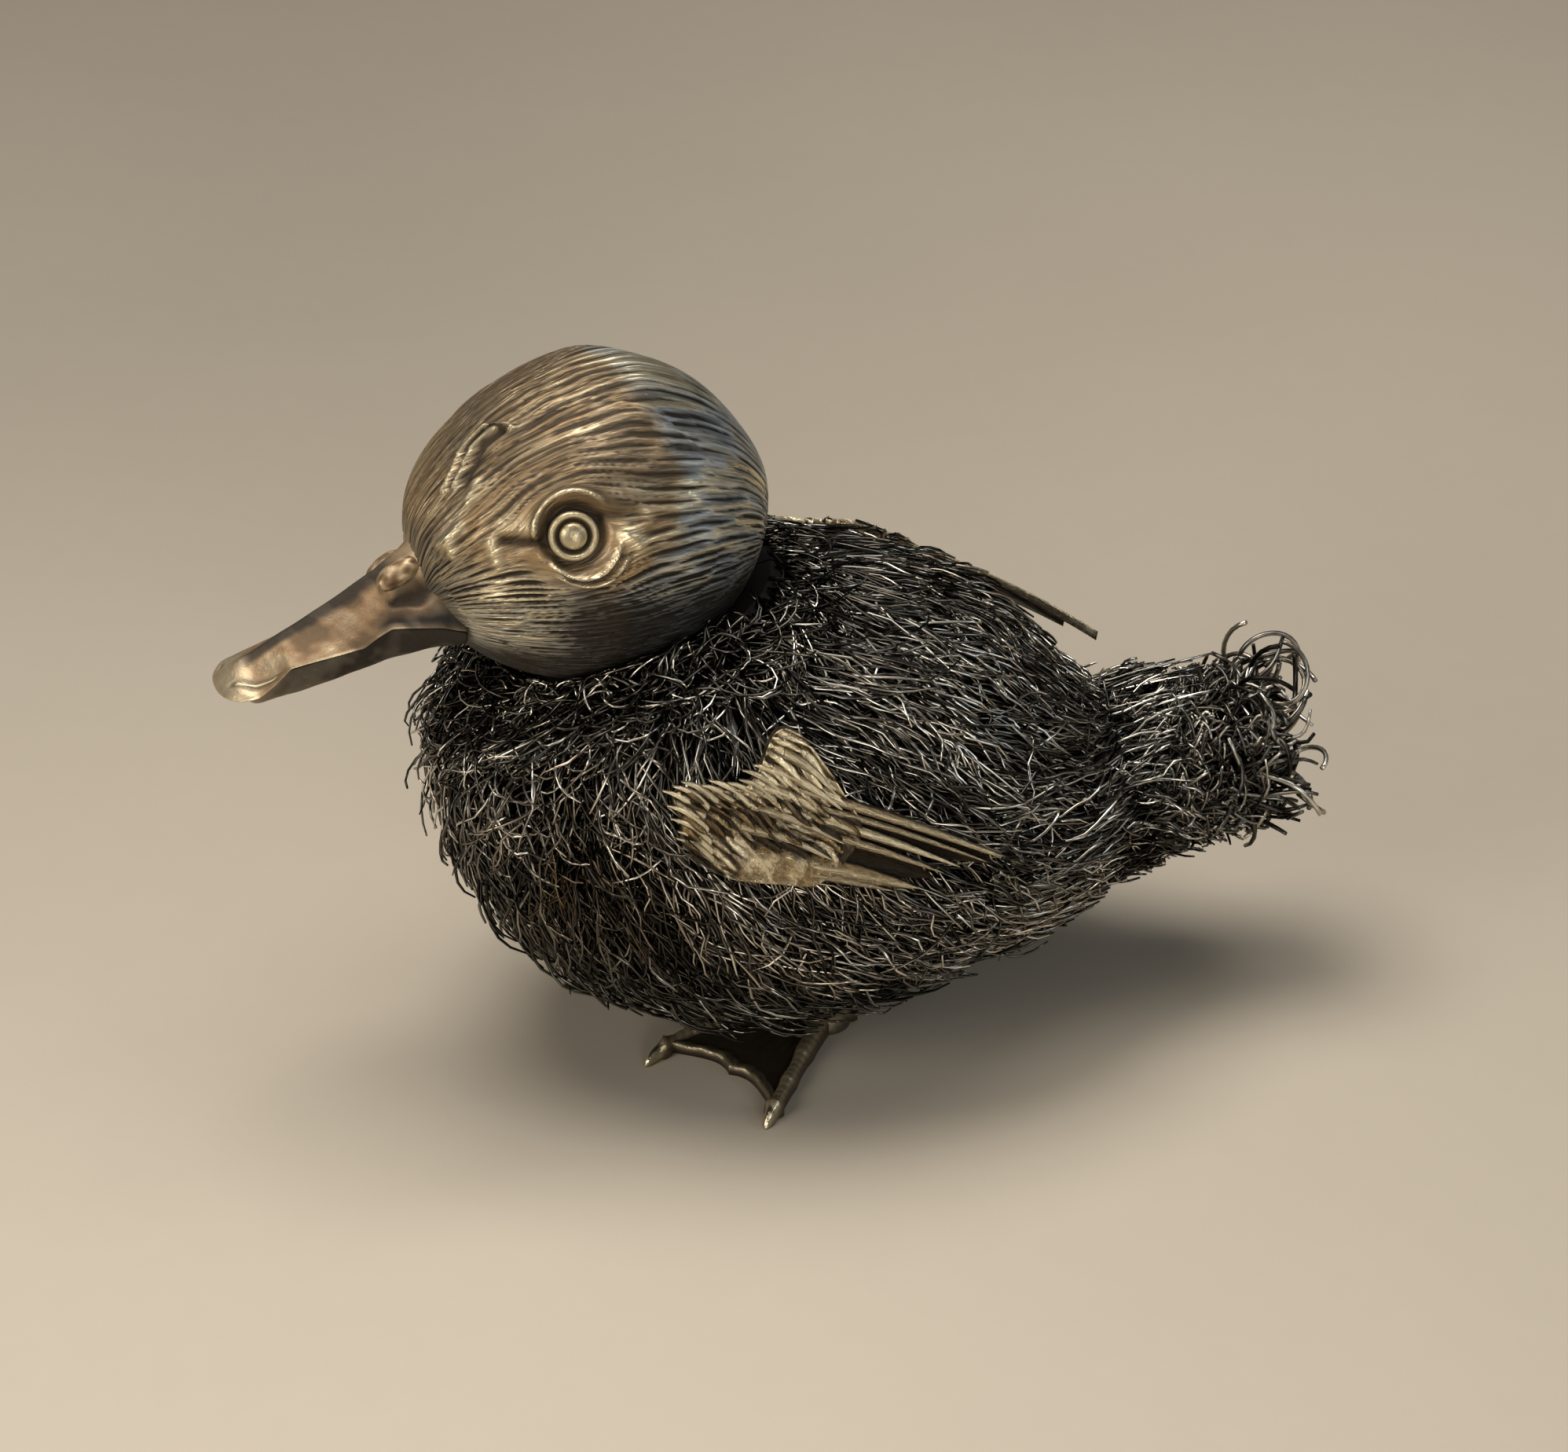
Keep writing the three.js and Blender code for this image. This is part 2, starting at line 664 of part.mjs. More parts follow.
// The end tuft: a full brush of wires over the core's end, uneven at its tips and dished in its middle.
function tailTuft() {
  const root = tailStart + TAIL_ROWS * tailPitch;
  const depth = TUFT_RADIUS - TAIL_CORE_RADIUS;
  const rootLift = FIT_GAP + TAIL_WIRE_THICKNESS;
  const tips = ringOf(tailPoint, 1, depth);
  const shortTips = ringOf(tailPoint, lerp(root, 1, TUFT_SHORT_SHARE), depth);
  const brush = sweep([
    ringOf(tailPoint, root, rootLift),
    ringOf(tailPoint, lerp(root, 1, TUFT_SWELL_SHARE), lerp(rootLift, depth, TUFT_SWELL_LIFT)),
    tips.map((tip, i) => (i % 2 ? tip : shortTips[i])),
    ringOf(tailPoint, lerp(root, 1, TUFT_DISH_SHARE), 0),
  ]);
  const coreEnd = TAIL_CORE_LENGTH + 2 * FIT_GAP;
  return brush.subtract(rod(TAIL_CORE_RADIUS + FIT_GAP, 0, coreEnd, rump.centre, tailAxis));
}

// Head, in its own frame: centre at the origin, before the head is turned on the neck.
const headGroup = new THREE.Group();
headGroup.position.copy(neck.centre).add(vec(HEAD_SIDE, -HEAD_FORWARD, HEAD_RISE));
headGroup.rotation.z = rad(HEAD_TURN_DEG);
headGroup.updateMatrix();
const intoHead = headGroup.matrix.clone().invert();
const neckInHead = neck.centre.clone().applyMatrix4(intoHead);
const neckAxisInHead = neckAxis.clone().transformDirection(intoHead);
const headHalf = vec(HEAD_WIDTH / 2, HEAD_LENGTH / 2, HEAD_HEIGHT / 2);

// How deep the slopes press the head in at a place, from the direction to it.
function headPress(way) {
  return HEAD_SLOPES.reduce((sum, { drop, degrees, facing }) => {
    const toward = vec(0, -Math.cos(rad(degrees)), Math.sin(rad(degrees)));
    return sum + drop * THREE.MathUtils.smoothstep(way.dot(toward), ...facing);
  }, 0);
}

// An ellipsoid with its poles at the bill and the nape, both below its middle, and two slopes.
function headSolid(shrink) {
  const half = headHalf.clone().subScalar(shrink);
  const point = (polar, angle) => {
    const way = vec(
      Math.sin(polar) * Math.cos(angle),
      -Math.cos(polar),
      Math.sin(polar) * Math.sin(angle) - HEAD_POLE_SINK,
    ).normalize();
    const pressed = headPress(way);
    const normal = way.clone().divide(headHalf).divide(headHalf).normalize();
    return way.divideScalar(way.clone().divide(half).length()).addScaledVector(normal, -pressed);
  };
  const stations = Array.from({ length: HEAD_STEPS + 1 }, (_, i) =>
    lerp(HEAD_POLE_RAD, Math.PI - HEAD_POLE_RAD, i / HEAD_STEPS),
  );
  return sweep(stations.map((polar) => ringOf(point, polar)));
}

// Frame of an eye: its place on the head, the outward direction there, and forward and up round it.
function eyeFrame(side) {
  const mirror = side === "left" ? 1 : -1;
  const level = 1 - (EYE_FORWARD / headHalf.y) ** 2 - (EYE_RISE / headHalf.z) ** 2;
  const place = vec(mirror * headHalf.x * Math.sqrt(level), -EYE_FORWARD, EYE_RISE);
  const out = place.clone().divide(headHalf).divide(headHalf).normalize();
  const forward = vec(0, -1, 0).projectOnPlane(out).normalize();
  const up = out.clone().cross(forward).multiplyScalar(-mirror);
  return { place, out, forward, up };
}

function eye(side) {
  const frame = eyeFrame(side);
  const floor = FIT_GAP - EYE_RECESS_DEPTH;
  const rim = EYE_RADIUS - PUPIL_RADIUS;
  const profile = [
    [0, -HEAD_WALL - EYE_RECESS_DEPTH],
    [EYE_STEM_RADIUS, -HEAD_WALL - EYE_RECESS_DEPTH],
    [EYE_STEM_RADIUS, floor],
    [EYE_RADIUS, floor],
    [EYE_RADIUS, 0],
    [EYE_RADIUS - 0.3 * rim, FIT_GAP],
    [EYE_RADIUS - 0.65 * rim, 0],
    [PUPIL_RADIUS, 0],
    [0.75 * PUPIL_RADIUS, 0.4 * PUPIL_RADIUS],
    [0, 0.55 * PUPIL_RADIUS],
  ];
  return turned(profile, frame.place, frame.out);
}

function eyeSocket(side) {
  const frame = eyeFrame(side);
  const recess = rod(EYE_RECESS_RADIUS, -EYE_RECESS_DEPTH, HEAD_WALL, frame.place, frame.out);
  const stemHole = rod(
    EYE_STEM_RADIUS + FIT_GAP,
    -2 * HEAD_WALL - EYE_RECESS_DEPTH,
    0,
    frame.place,
    frame.out,
  );
  return recess.add(stemHole);
}

// A raised lid on the rim of the recess, between two angles round the eye.
function eyeLid(side, [fromDeg, toDeg]) {
  const frame = eyeFrame(side);
  const half = LID_THICKNESS / 2;
  const sections = Array.from({ length: LID_STEPS + 1 }, (_, i) => {
    const angle = rad(lerp(fromDeg, toDeg, i / LID_STEPS));
    const thin = half * (0.35 + 0.65 * Math.sin((Math.PI * i) / LID_STEPS));
    const away = frame.forward
      .clone()
      .multiplyScalar(Math.cos(angle))
      .addScaledVector(frame.up, Math.sin(angle));
    const sag = EYE_RECESS_RADIUS ** 2 / HEAD_WIDTH;
    const centre = frame.place
      .clone()
      .addScaledVector(away, EYE_RECESS_RADIUS + half)
      .addScaledVector(frame.out, -sag);
    return Array.from({ length: LID_SIDES }, (_, j) => {
      const turn = (2 * Math.PI * j) / LID_SIDES;
      return centre
        .clone()
        .addScaledVector(away, thin * Math.cos(turn))
        .addScaledVector(frame.out, thin * Math.sin(turn));
    });
  });
  return sweep(sections);
}

// Bill: sections along a path that droops from its seat in the head to its tip.
const billStart = headHalf.y - BILL_SEAT;
const billWidth = (share) => lerp(BILL_BASE_WIDTH, BILL_WIDTH, share);
const billHeight = (share) => lerp(BILL_BASE_HEIGHT, BILL_HEIGHT, share);
const billShape = [
  { step: 0, wide: billWidth(0), high: billHeight(0), deep: 1 },
  { step: 0.15, wide: billWidth(0.55), high: billHeight(0.3), deep: 1 },
  { step: 0.3, wide: billWidth(1), high: billHeight(0.6), deep: 1 },
  { step: 0.55, wide: 0.97 * BILL_WIDTH, high: BILL_HEIGHT, deep: 0.95 },
  { step: 0.8, wide: BILL_WIDTH, high: 0.8 * BILL_HEIGHT, deep: 0.85 },
  { step: 0.93, wide: 0.75 * BILL_WIDTH, high: 0.6 * BILL_HEIGHT, deep: 0.65 },
  { step: 1, wide: 0.25 * BILL_WIDTH, high: 0.25 * BILL_HEIGHT, deep: 0.3 },
];

function billLine(step) {
  const drop = BILL_DROP * step ** BILL_DROOP_POWER;
  return vec(0, -billStart - step * BILL_LENGTH, -BILL_BELOW_CENTRE - drop);
}

// One half of the bill over or under the mouth line: a half ellipse with a flat at the mouth.
function billHalf(upper, length, margin) {
  const arc = Array.from({ length: BILL_FACETS + 1 }, (_, i) => (Math.PI * i) / BILL_FACETS);
  const sections = billShape.map((shape) => {
    const centre = billLine(shape.step * length);
    const width = shape.wide / 2 + margin;
    const reach = upper ? shape.high + margin : -shape.deep * BILL_LOWER_DEPTH - margin;
    const mouth = ((upper ? 1 : -1) * FIT_GAP) / 2 - (upper ? margin : -margin);
    return arc.map((a) =>
      centre.clone().add(vec(width * Math.cos(a), 0, mouth + (reach - mouth) * Math.sin(a))),
    );
  });
  return sweep(sections);
}

function upperBill() {
  const bump = (mirror) => {
    const centre = billLine(NOSTRIL_STEP).add(vec((mirror * NOSTRIL_APART) / 2, 0, NOSTRIL_RISE));
    const ball = new THREE.SphereGeometry(NOSTRIL_RADIUS, 12, 8).scale(0.85, 1.4, 1);
    return solidOfGeometry(ball.translate(centre.x, centre.y, centre.z));
  };
  return billHalf(true, 1, 0).add(bump(1)).add(bump(-1));
}

function lowerBill() {
  return billHalf(false, LOWER_BILL_SHARE, 0);
}

// The cast head: hollow, flat where it meets the neck, open for the sleeve, the bill and the eyes.
function headShell() {
  const floor = neckInHead.clone().addScaledVector(neckAxisInHead, FIT_GAP);
  const ceiling = floor.clone().addScaledVector(neckAxisInHead, HEAD_WALL);
  const inside = headSolid(HEAD_WALL).intersect(halfSpace(ceiling, neckAxisInHead));
  const lidsOf = (side) => [eyeLid(side, UPPER_LID_DEG), eyeLid(side, LOWER_LID_DEG)];
  const lids = [...lidsOf("left"), ...lidsOf("right")];
  const skin = lids.reduce((solid, lid) => solid.add(lid), headSolid(0));
  const holes = [
    inside,
    rod(SLEEVE_RADIUS + FIT_GAP, -SLEEVE_INTO_BODY, SLEEVE_INTO_HEAD + FIT_GAP, neckInHead, neckAxisInHead),
    billHalf(true, 1, FIT_GAP),
    billHalf(false, 1, FIT_GAP),
    eyeSocket("left"),
    eyeSocket("right"),
  ];
  const open = holes.reduce((solid, hole) => solid.subtract(hole), skin);
  return largest(open.intersect(halfSpace(floor, neckAxisInHead)));
}

// Finishes.
const finish = (color, roughness) => new THREE.MeshStandardMaterial({ color, roughness, metalness: 1 });
const castSilver = finish(0x9a8c74, 0.34);
const billSilver = finish(0xa8946c, 0.3);
const eyeSilver = finish(0x8d8066, 0.25);
const wingSilver = finish(0xb5a178, 0.3);
const footSilver = finish(0x6e5f48, 0.36);
const wireSilver = finish(0x4a453d, 0.38);
const tailWireSilver = finish(0x433f38, 0.38);
const shellSilver = finish(0x25221e, 0.6);

const duckling = new THREE.Group();

function addPiece(parent, name, solid, material) {
  const made = solid.getMesh();
  const geometry = new THREE.BufferGeometry();
  geometry.setAttribute("position", new THREE.BufferAttribute(made.vertProperties, 3));
  geometry.setIndex(new THREE.BufferAttribute(made.triVerts, 1));
  geometry.computeVertexNormals();
  const piece = new THREE.Mesh(geometry, material);
  piece.name = name;
  parent.add(piece);
}

duckling.add(headGroup);
addPiece(headGroup, "head_shell", headShell(), castSilver);
addPiece(headGroup, "upper_bill", upperBill(), billSilver);
addPiece(headGroup, "lower_bill", lowerBill(), billSilver);
addPiece(duckling, "neck_sleeve", neckSleeve(), shellSilver);
for (const side of ["left", "right"]) {
  addPiece(headGroup, `${side}_eye`, eye(side), eyeSilver);
  addPiece(duckling, `body_shell_${side}`, shellHalf(side), shellSilver);
  addPiece(duckling, `${side}_wing`, wing(side), wingSilver);
  addPiece(duckling, `${side}_wing_washer`, wingWasher(side), shellSilver);
  addPiece(duckling, `${side}_foot`, foot(side), footSilver);
  addPiece(duckling, `${side}_leg_collar`, legCollar(side), shellSilver);
}
addPiece(duckling, "neck_ruff", neckRuff(), wireSilver);
for (let i = 0; i < FUR_ROWS; i++) {
  addPiece(duckling, `fur_row_${String(i + 1).padStart(2, "0")}`, furRow(i), wireSilver);
}
addPiece(duckling, "tail_core", tailCore(), shellSilver);
for (let i = 0; i < TAIL_ROWS; i++) {
  addPiece(duckling, `tail_row_${i + 1}`, tailRow(i), tailWireSilver);
}
addPiece(duckling, "tail_tuft", tailTuft(), tailWireSilver);

// The frame's origin is the middle of the figurine's box, on the surface that it stands on.
const box = new THREE.Box3().setFromObject(duckling, true);
duckling.position.set(-(box.min.x + box.max.x) / 2, -(box.min.y + box.max.y) / 2, -box.min.z);
const figurine = new THREE.Group();
figurine.add(duckling);

export default figurine;
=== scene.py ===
import math
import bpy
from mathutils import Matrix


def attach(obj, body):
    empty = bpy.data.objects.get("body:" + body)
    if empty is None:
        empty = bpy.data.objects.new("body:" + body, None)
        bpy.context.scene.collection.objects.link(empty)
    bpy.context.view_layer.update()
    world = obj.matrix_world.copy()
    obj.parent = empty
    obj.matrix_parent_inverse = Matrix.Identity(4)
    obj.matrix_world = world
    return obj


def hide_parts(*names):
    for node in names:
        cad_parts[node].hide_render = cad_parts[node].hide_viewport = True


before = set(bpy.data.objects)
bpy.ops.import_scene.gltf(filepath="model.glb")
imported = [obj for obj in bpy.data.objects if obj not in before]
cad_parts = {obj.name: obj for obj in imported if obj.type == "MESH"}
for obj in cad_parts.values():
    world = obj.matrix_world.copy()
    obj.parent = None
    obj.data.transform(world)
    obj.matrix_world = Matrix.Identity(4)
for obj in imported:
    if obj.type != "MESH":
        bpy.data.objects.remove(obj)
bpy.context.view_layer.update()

from types import SimpleNamespace

import bpy
import numpy as np
from bpy.props import FloatProperty, FloatVectorProperty, IntProperty, PointerProperty
from mathutils import Matrix

bl_info = {
    "name": "Wire fur duckling",
    "version": (1, 0, 0),
    "blender": (4, 5, 0),
    "location": "View3D > Sidebar > Duckling",
    "description": "A silver duckling with a chased head and a coat of soldered wires",
    "category": "Object",
}

BODY = "root"
SIDES = ("left", "right")
MIRROR = {"left": 1, "right": -1}

# The shapes are worked out in millimetres in the design's frame: X to the duckling's left, Y back, Z up.
MM = 0.001
DESIGN_ORIGIN = np.array([-0.0800934, -2.6041682, 0.0])
UP = np.array([0, 0, 1.0])
FIT_GAP = 0.3
SMALL = 1e-3

# Body: sizes, its crest and keel from neck to tail in shares of length and height, and shares of its width.
BODY_LENGTH = 57.0
BODY_HEIGHT = 37.6
BODY_WIDTH = 36.0
BELLY_HEIGHT = 5.6
BREAST_SHARE = 0.4386
LEAST_HALF_WIDTH = 2.0
CREST = [(0.465, 1), (0.553, 0.955), (0.667, 0.893), (0.772, 0.806),
         (0.86, 0.677), (0.93, 0.565), (0.982, 0.52)]
KEEL = [(0.105, 0.839), (0, 0.637), (0.05, 0.323), (0.211, 0.081),
        (0.491, 0), (0.772, 0.097), (1.016, 0.222)]
FLANK = [0.528, 0.778, 0.944, 1, 0.944, 0.722, 0.389]

# Fur: rows from the ruff to the rump. A wire near a wing's plate slopes to pass under or over it, and the
# coat's rates along and around have least values, so that no wire is flung far where the coat is narrow.
FUR_ROWS = 11
RUFF_ROOT = 0.06
FUR_END = 1.02
ROW_PITCH = (1 - RUFF_ROOT) / (FUR_ROWS + 0.6)
FUR_DEPTH = 3.8
WING_NEAR = 7.0
WING_ROUND = 4.0
PASS_UNDER = -0.95
PASS_OVER = 0.85
PASS_SLOPE = 1.1
HEAD_MARGIN = 0.35
KINK_WAVES = 1.4
LEAST_ALONG = 20.0
LEAST_AROUND = 5.0
WIRE_SIDES = 4
RUFF_SPAN = (-0.01, 0.09)
RUFF_DENSITY = 1.7
RUFF_SEED = 50
RUFF_STEPS = 7

# Head: half sizes, centre and turn, how far its two poles lie below its middle, its mesh, and the mean radii
# by which the chased strokes count their lanes and their lengths.
HEAD_HALF = np.array([13.0, 15.1, 13.8])
HEAD_CENTRE = np.array([1.0, -13.76, 49.57])
HEAD_TURN = math.radians(14)
POLE_SINK = 0.42
POLE_HOLE = 0.08
HEAD_RINGS = 148
HEAD_SIDES = 660
HEAD_SEED = 31
STROKE_RADIUS = 13.2
STROKE_RUN = 14.2
# Slopes of the forehead and the nape: how far each is pressed in, how many degrees up from straight ahead it
# faces, and how squarely a place faces that way where the slope starts and where it is full.
HEAD_SLOPES = [(1.8, 58, 0.6, 0.97), (0.6, 130, 0.7, 0.97)]

# Forelock: two raised strands over the forehead, and the dark lines between and beside them with their
# widths: a cut between them, and beside them a shallow dip painted dark as their shadow.
FORELOCK = [
    ((2.18, -13.45, 5.83), (0.5, -11.65, 8.76), (0.5, -9.48, 10.73), (2.18, -8.13, 11.4)),
    ((3.04, -12.86, 6.48), (1.51, -10.97, 9.36), (1.61, -8.94, 11.0), (2.91, -7.73, 11.45)),
]
FORELOCK_WIDTH = 0.3
FORELOCK_CUT_AND_SHADOW = [
    (((2.6, -13.15, 6.15), (1.0, -11.3, 9.06), (1.05, -9.2, 10.87), (2.55, -7.9, 11.43)), 0.2),
    (((3.8, -12.3, 6.9), (2.3, -10.3, 9.8), (2.5, -8.4, 11.1)), 0.36),
]
# Rubbed marks on the brow: start, end, width and strength of each. Then the rusty patch behind the eye.
BROW_MARKS = [
    ((4.7, -13.9, 2.0), (5.8, -12.8, 3.8), 0.55, 1.0),
    ((5.8, -13.4, 1.7), (5.6, -13.3, 2.4), 0.5, 1.0),
    ((4.7, -11.6, 7.3), (5.2, -12.2, 5.9), 0.5, 0.7),
]
RUST_PATCH = ((10.6, -1.6, 7.6), (11.2, 2.4, 6.2), 1.9)

# Eyes: place on the head, recess, and the stud's dome, ring and stem as radius and height.
EYE_FORWARD = 5.2
EYE_RISE = 4.3
EYE_RADIUS = 2.0
RECESS_RADIUS = 2.9
DOME_RADIUS = 1.13
DOME_RISE = 0.62
RING_RADIUS = 1.72
RING_HALF = 0.3
RING_RISE = 0.46
STUD_SINK = 0.52
STUD_STEM = [(EYE_RADIUS, -0.45), (0.9, -0.5), (0.9, -1.2), (0.05, -1.2)]

# Bill: its path from the head, widths, heights and depths at its stations, the rise of its mouth line, its
# nostrils, and how many millimetres an angle up its side stands for.
BILL_START = 12.3
BILL_LENGTH = 19.4
BILL_BELOW = 6.2
BILL_DROP = 3.4
BILL_DROOP = 1.2
BILL_STEPS = [0, 0.15, 0.3, 0.55, 0.8, 0.93, 1]
BILL_WIDE = [12, 10.0, 8.2, 7.6, 7.5, 6.4, 2.2]
BILL_HIGH = [9.0, 6.7, 5.3, 3.6, 2.2, 1.5, 0.75]
BILL_DEEP = [2.1, 2.2, 2.4, 2.5, 2.2, 1.6, 0.7]
LIP_STEPS = [0, 0.1, 0.3, 0.36, 0.42, 0.55, 0.73, 0.8, 0.87, 1]
LIP_RISE = [0.7, 1.4, 2.1, 1.7, 1.15, 1.35, 1.75, 0.8, 0.1, 0.1]
BILL_TIP = 0.88
LOWER_REACH = 0.94
LOWER_INSET = 0.3
BILL_SEED = 61
FOLD_MM = 5
NOSTRIL_HALF = (1.15, 2.1, 1.1)
NOSTRIL_TILT = 0.45
NOSTRIL_PLACE = (1.35, -16.4, -2.05)
NOSTRIL_LIFT = 0.4

# Tail: a core on the axis that leaves the rump squarely. A set of wires has its count, looseness and gauge.
# A set of loops has its count, places along and out from the core, sizes, and angles round the axis.
TAIL_LENGTH = 17.0
TAIL_RADIUS = 7.4
TUFT_RADIUS = 8.4
TAIL_CORE_RADIUS = 3.6
TAIL_CORE_LENGTH = 12.5
TAIL_TAPER = 0.85
TAIL_ROWS = 3
TAIL_SETS = ((900, 0.7, 0.54), (850, 0.85, 0.58), (620, 1.0, 0.68), (230, 1.25, 0.9))
TAIL_SEED = 80
TAIL_STEPS = 9
TAIL_SIDES = 5
LOOP_SETS = (
    (40, (0.55, 0.94), (-2, 3.6), (1.2, 2.4), (-np.pi, np.pi)),
    (9, (0.8, 0.94), (2.4, 3.8), (2.3, 3.2), (0.4, 2.7)),
)
LOOP_STEPS = 14
LOOP_SIDES = 6

# Wings: outline of the covert lobe, blades, webs, coverts and front edge in shares of length and depth.
# A blade has its root, tip, half width, warmth, tarnish and wear, and a black web, painted shadow between
# the blades, its root, tip and half width.
WING_LENGTH = 30.8
WING_DEPTH = 12.6
WING_SIZE = np.array([WING_LENGTH, WING_DEPTH])
WING_THICKNESS = 1.1
WING_BEND = (75.0, 30.0)
LOBE = [
    (-0.244, 0), (-0.075, 0.147), (-0.036, 0.5), (0.023, 0.536), (0.091, 0.429), (0.185, 0.226),
    (0.26, 0), (0.195, -0.365), (0.084, -0.437), (-0.065, -0.468), (-0.182, -0.341), (-0.208, -0.198),
]
BLADES = [
    ((0.168, 0.192), (0.76, -0.015), 0.42, 0.75, 0.05, 0.6),
    ((0.149, 0.12), (0.64, -0.03), 0.36, 0.95, 0.25, 0.6),
    ((0.125, 0.05), (0.56, -0.09), 0.5, 0.25, 0.0, 1.0),
    ((0.14, -0.045), (0.52, -0.15), 0.46, 0.8, 0.15, 0.6),
    ((0.04, -0.315), (0.46, -0.28), 1.1, 0.85, 0.1, 0.6),
    ((0.02, -0.39), (0.4, -0.33), 0.5, 0.7, 0.3, 0.6),
]
BLADE_ROOT = (3.5, 0)
SHADOW_WEBS = [((0.1, 0.06), (0.66, -0.035), 1.75), ((0.08, -0.2), (0.5, -0.2), 1.6)]
COVERTS = [
    ((0.0, 0.4), (0.16, 0.22)), ((-0.02, 0.28), (0.19, 0.13)), ((-0.03, 0.16), (0.2, 0.03)),
    ((-0.05, 0.02), (0.22, -0.08)), ((-0.06, -0.12), (0.2, -0.2)), ((-0.07, -0.2), (0.06, -0.4)),
]
FRONT_EDGE = [(-0.182, -0.341), (-0.208, -0.198), (-0.244, 0), (-0.16, 0.075), (-0.075, 0.147), (-0.05, 0.3)]
FRONT_FEATHERS = np.linspace(0.04, 0.96, 13)
FRONT_ROOT = (2.6, -0.8)
FRONT_REACH = np.array((-1.0, 0.32))
# Painted highlights on the lobe's lower plane: bright bars from one start to each end, with their widths.
FACET_HIGHLIGHT_START = (-1.6, -3.2)
FACET_HIGHLIGHTS = [((-0.4, -4.6), 0.5), ((0.9, -4.2), 0.35)]
SHADOW_WEB_SHAPE = dict(lift=-0.3, thick=0.16, blunt=0.3)
BLADE_SHAPE = dict(thick=0.34, blunt=0.5)
COVERT_SHAPE = dict(wide=0.5, lift=0.4, thick=0.2, blunt=0.4)
FRONT_SHAPE = dict(wide=0.34, lift=0.32, thick=0.2, blunt=0.3)
WING_PLAN = np.array(LOBE[:6] + [BLADES[0][1], (0.56, -0.16), BLADES[4][1]] + LOBE[7:]) * WING_SIZE
WING_SEATS = {
    "left": dict(along=0.303, round=9.8, dip=19.6, lean=16.6, toe_in=3.2),
    "right": dict(along=0.397, round=37.7, dip=15.0, lean=45.6, toe_in=27.7),
}
LOBE_SIDES = 240
FACE_RINGS = 72
BACK_RINGS = 10
LOBE_SEED = 71
FEATHER_SEED = 73
POST_RADIUS = 1.1
POST_LENGTH = 8.6

# Feet: toes from the inner to the outer one, then the hind toe, the web and the shank.
TOE_DEG = (-14, 15, 63)
TOE_REACH = (9.6, 17.0, 16.6)
TOE_BOW = (0.0, -2.6, 0.0)
TOE_LENGTH = 17.4
TOE_WIDTH = 2.2
TOE_HEIGHT = 1.5
CLAW_LENGTH = 2.4
HIND_TOE = (196, 4.6, 0)
WEB_THICKNESS = 0.9
WEB_SHARE = 0.86
WEB_RIBS = 14
SHANK_RADIUS = 1.5
SHANK_HEIGHT = 11.5
LEG_SPREAD = 11.0
LEG_SETBACK = 30.4
STRIDE = 8.3

# Stage, in metres: the table, and each lamp's place, size, share of the key power and tint.
TABLE_HALF = 4
TABLE_TOP = -5e-5
ROOM_TINT = (1, 0.97, 0.93, 1)
LAMP_TARGET = np.array([0, 0, 0.03])
LAMPS = {
    "overhead": ((-0.07, -0.12, 0.5), 0.3, 0.72, (1, 0.96, 0.9)),
    "second_overhead": ((-0.02, 0.14, 0.5), 0.3, 0.24, (1, 0.96, 0.9)),
    "window": ((0.24, -0.46, 0.26), 0.3, 0.42, (1, 0.95, 0.87)),
    "sky": ((0.22, 0.5, 0.34), 0.24, 0.16, (0.78, 0.9, 1)),
    "fill": ((0.52, 0.05, 0.16), 0.16, 0.22, (1, 0.97, 0.92)),
}

# Numbers of the pseudo-random sine, and margins of the bake map's cells.
CHANCE_WAVES = (12.9898, 78.233, 37.719)
CHANCE_SCALE = 43758.5453
CAP_SHARE = 0.04
CELL_EDGE = 0.05
LEAST_BAND = 0.03


def held(x):
    """A value held between 0 and 1."""
    return np.clip(x, 0, 1)


def ease(x, low, high):
    """Smooth step: 0 at low, 1 at high, level at both."""
    t = held((x - low) / (high - low))
    return t * t * (3 - 2 * t)


def hump(x, width):
    """Bell curve: 1 at zero, falling with the square of x over width."""
    return np.exp(-((x / width) ** 2))


def fuller(x, power):
    """A sine or cosine to a power with its sign kept, which makes an ellipse boxier."""
    return np.sign(x) * np.abs(x) ** power


def unit(v):
    """Vectors over their own lengths."""
    return v / np.maximum(np.linalg.norm(v, axis=-1, keepdims=True), 1e-9)


def turns(sides):
    """Angles evenly round a circle, without the one that meets the first."""
    return np.linspace(0, 2 * np.pi, sides, endpoint=False)


def grid(down, across):
    """Two parameters over a grid: one goes from row to row, the other along each row."""
    return np.meshgrid(down, across, indexing="ij")


def chance(a, b, seed):
    """A fixed pseudo-random number from 0 to 1 for each two whole numbers: the fraction of a large sine."""
    wave = np.sin(a * CHANCE_WAVES[0] + b * CHANCE_WAVES[1] + seed * CHANCE_WAVES[2])
    return np.modf(np.abs(wave * CHANCE_SCALE))[0]


def ripple(points, size, rng, waves=7):
    """Smooth noise from about -1 to 1: twice the mean of sine waves near that size in random directions."""
    ways = unit(rng.normal(size=(waves, 3))) * (2 * np.pi / size) * rng.uniform(0.6, 1.5, (waves, 1))
    phase = rng.uniform(0, 2 * np.pi, waves)
    return np.sin(points @ ways.T + phase).mean(-1) * 2


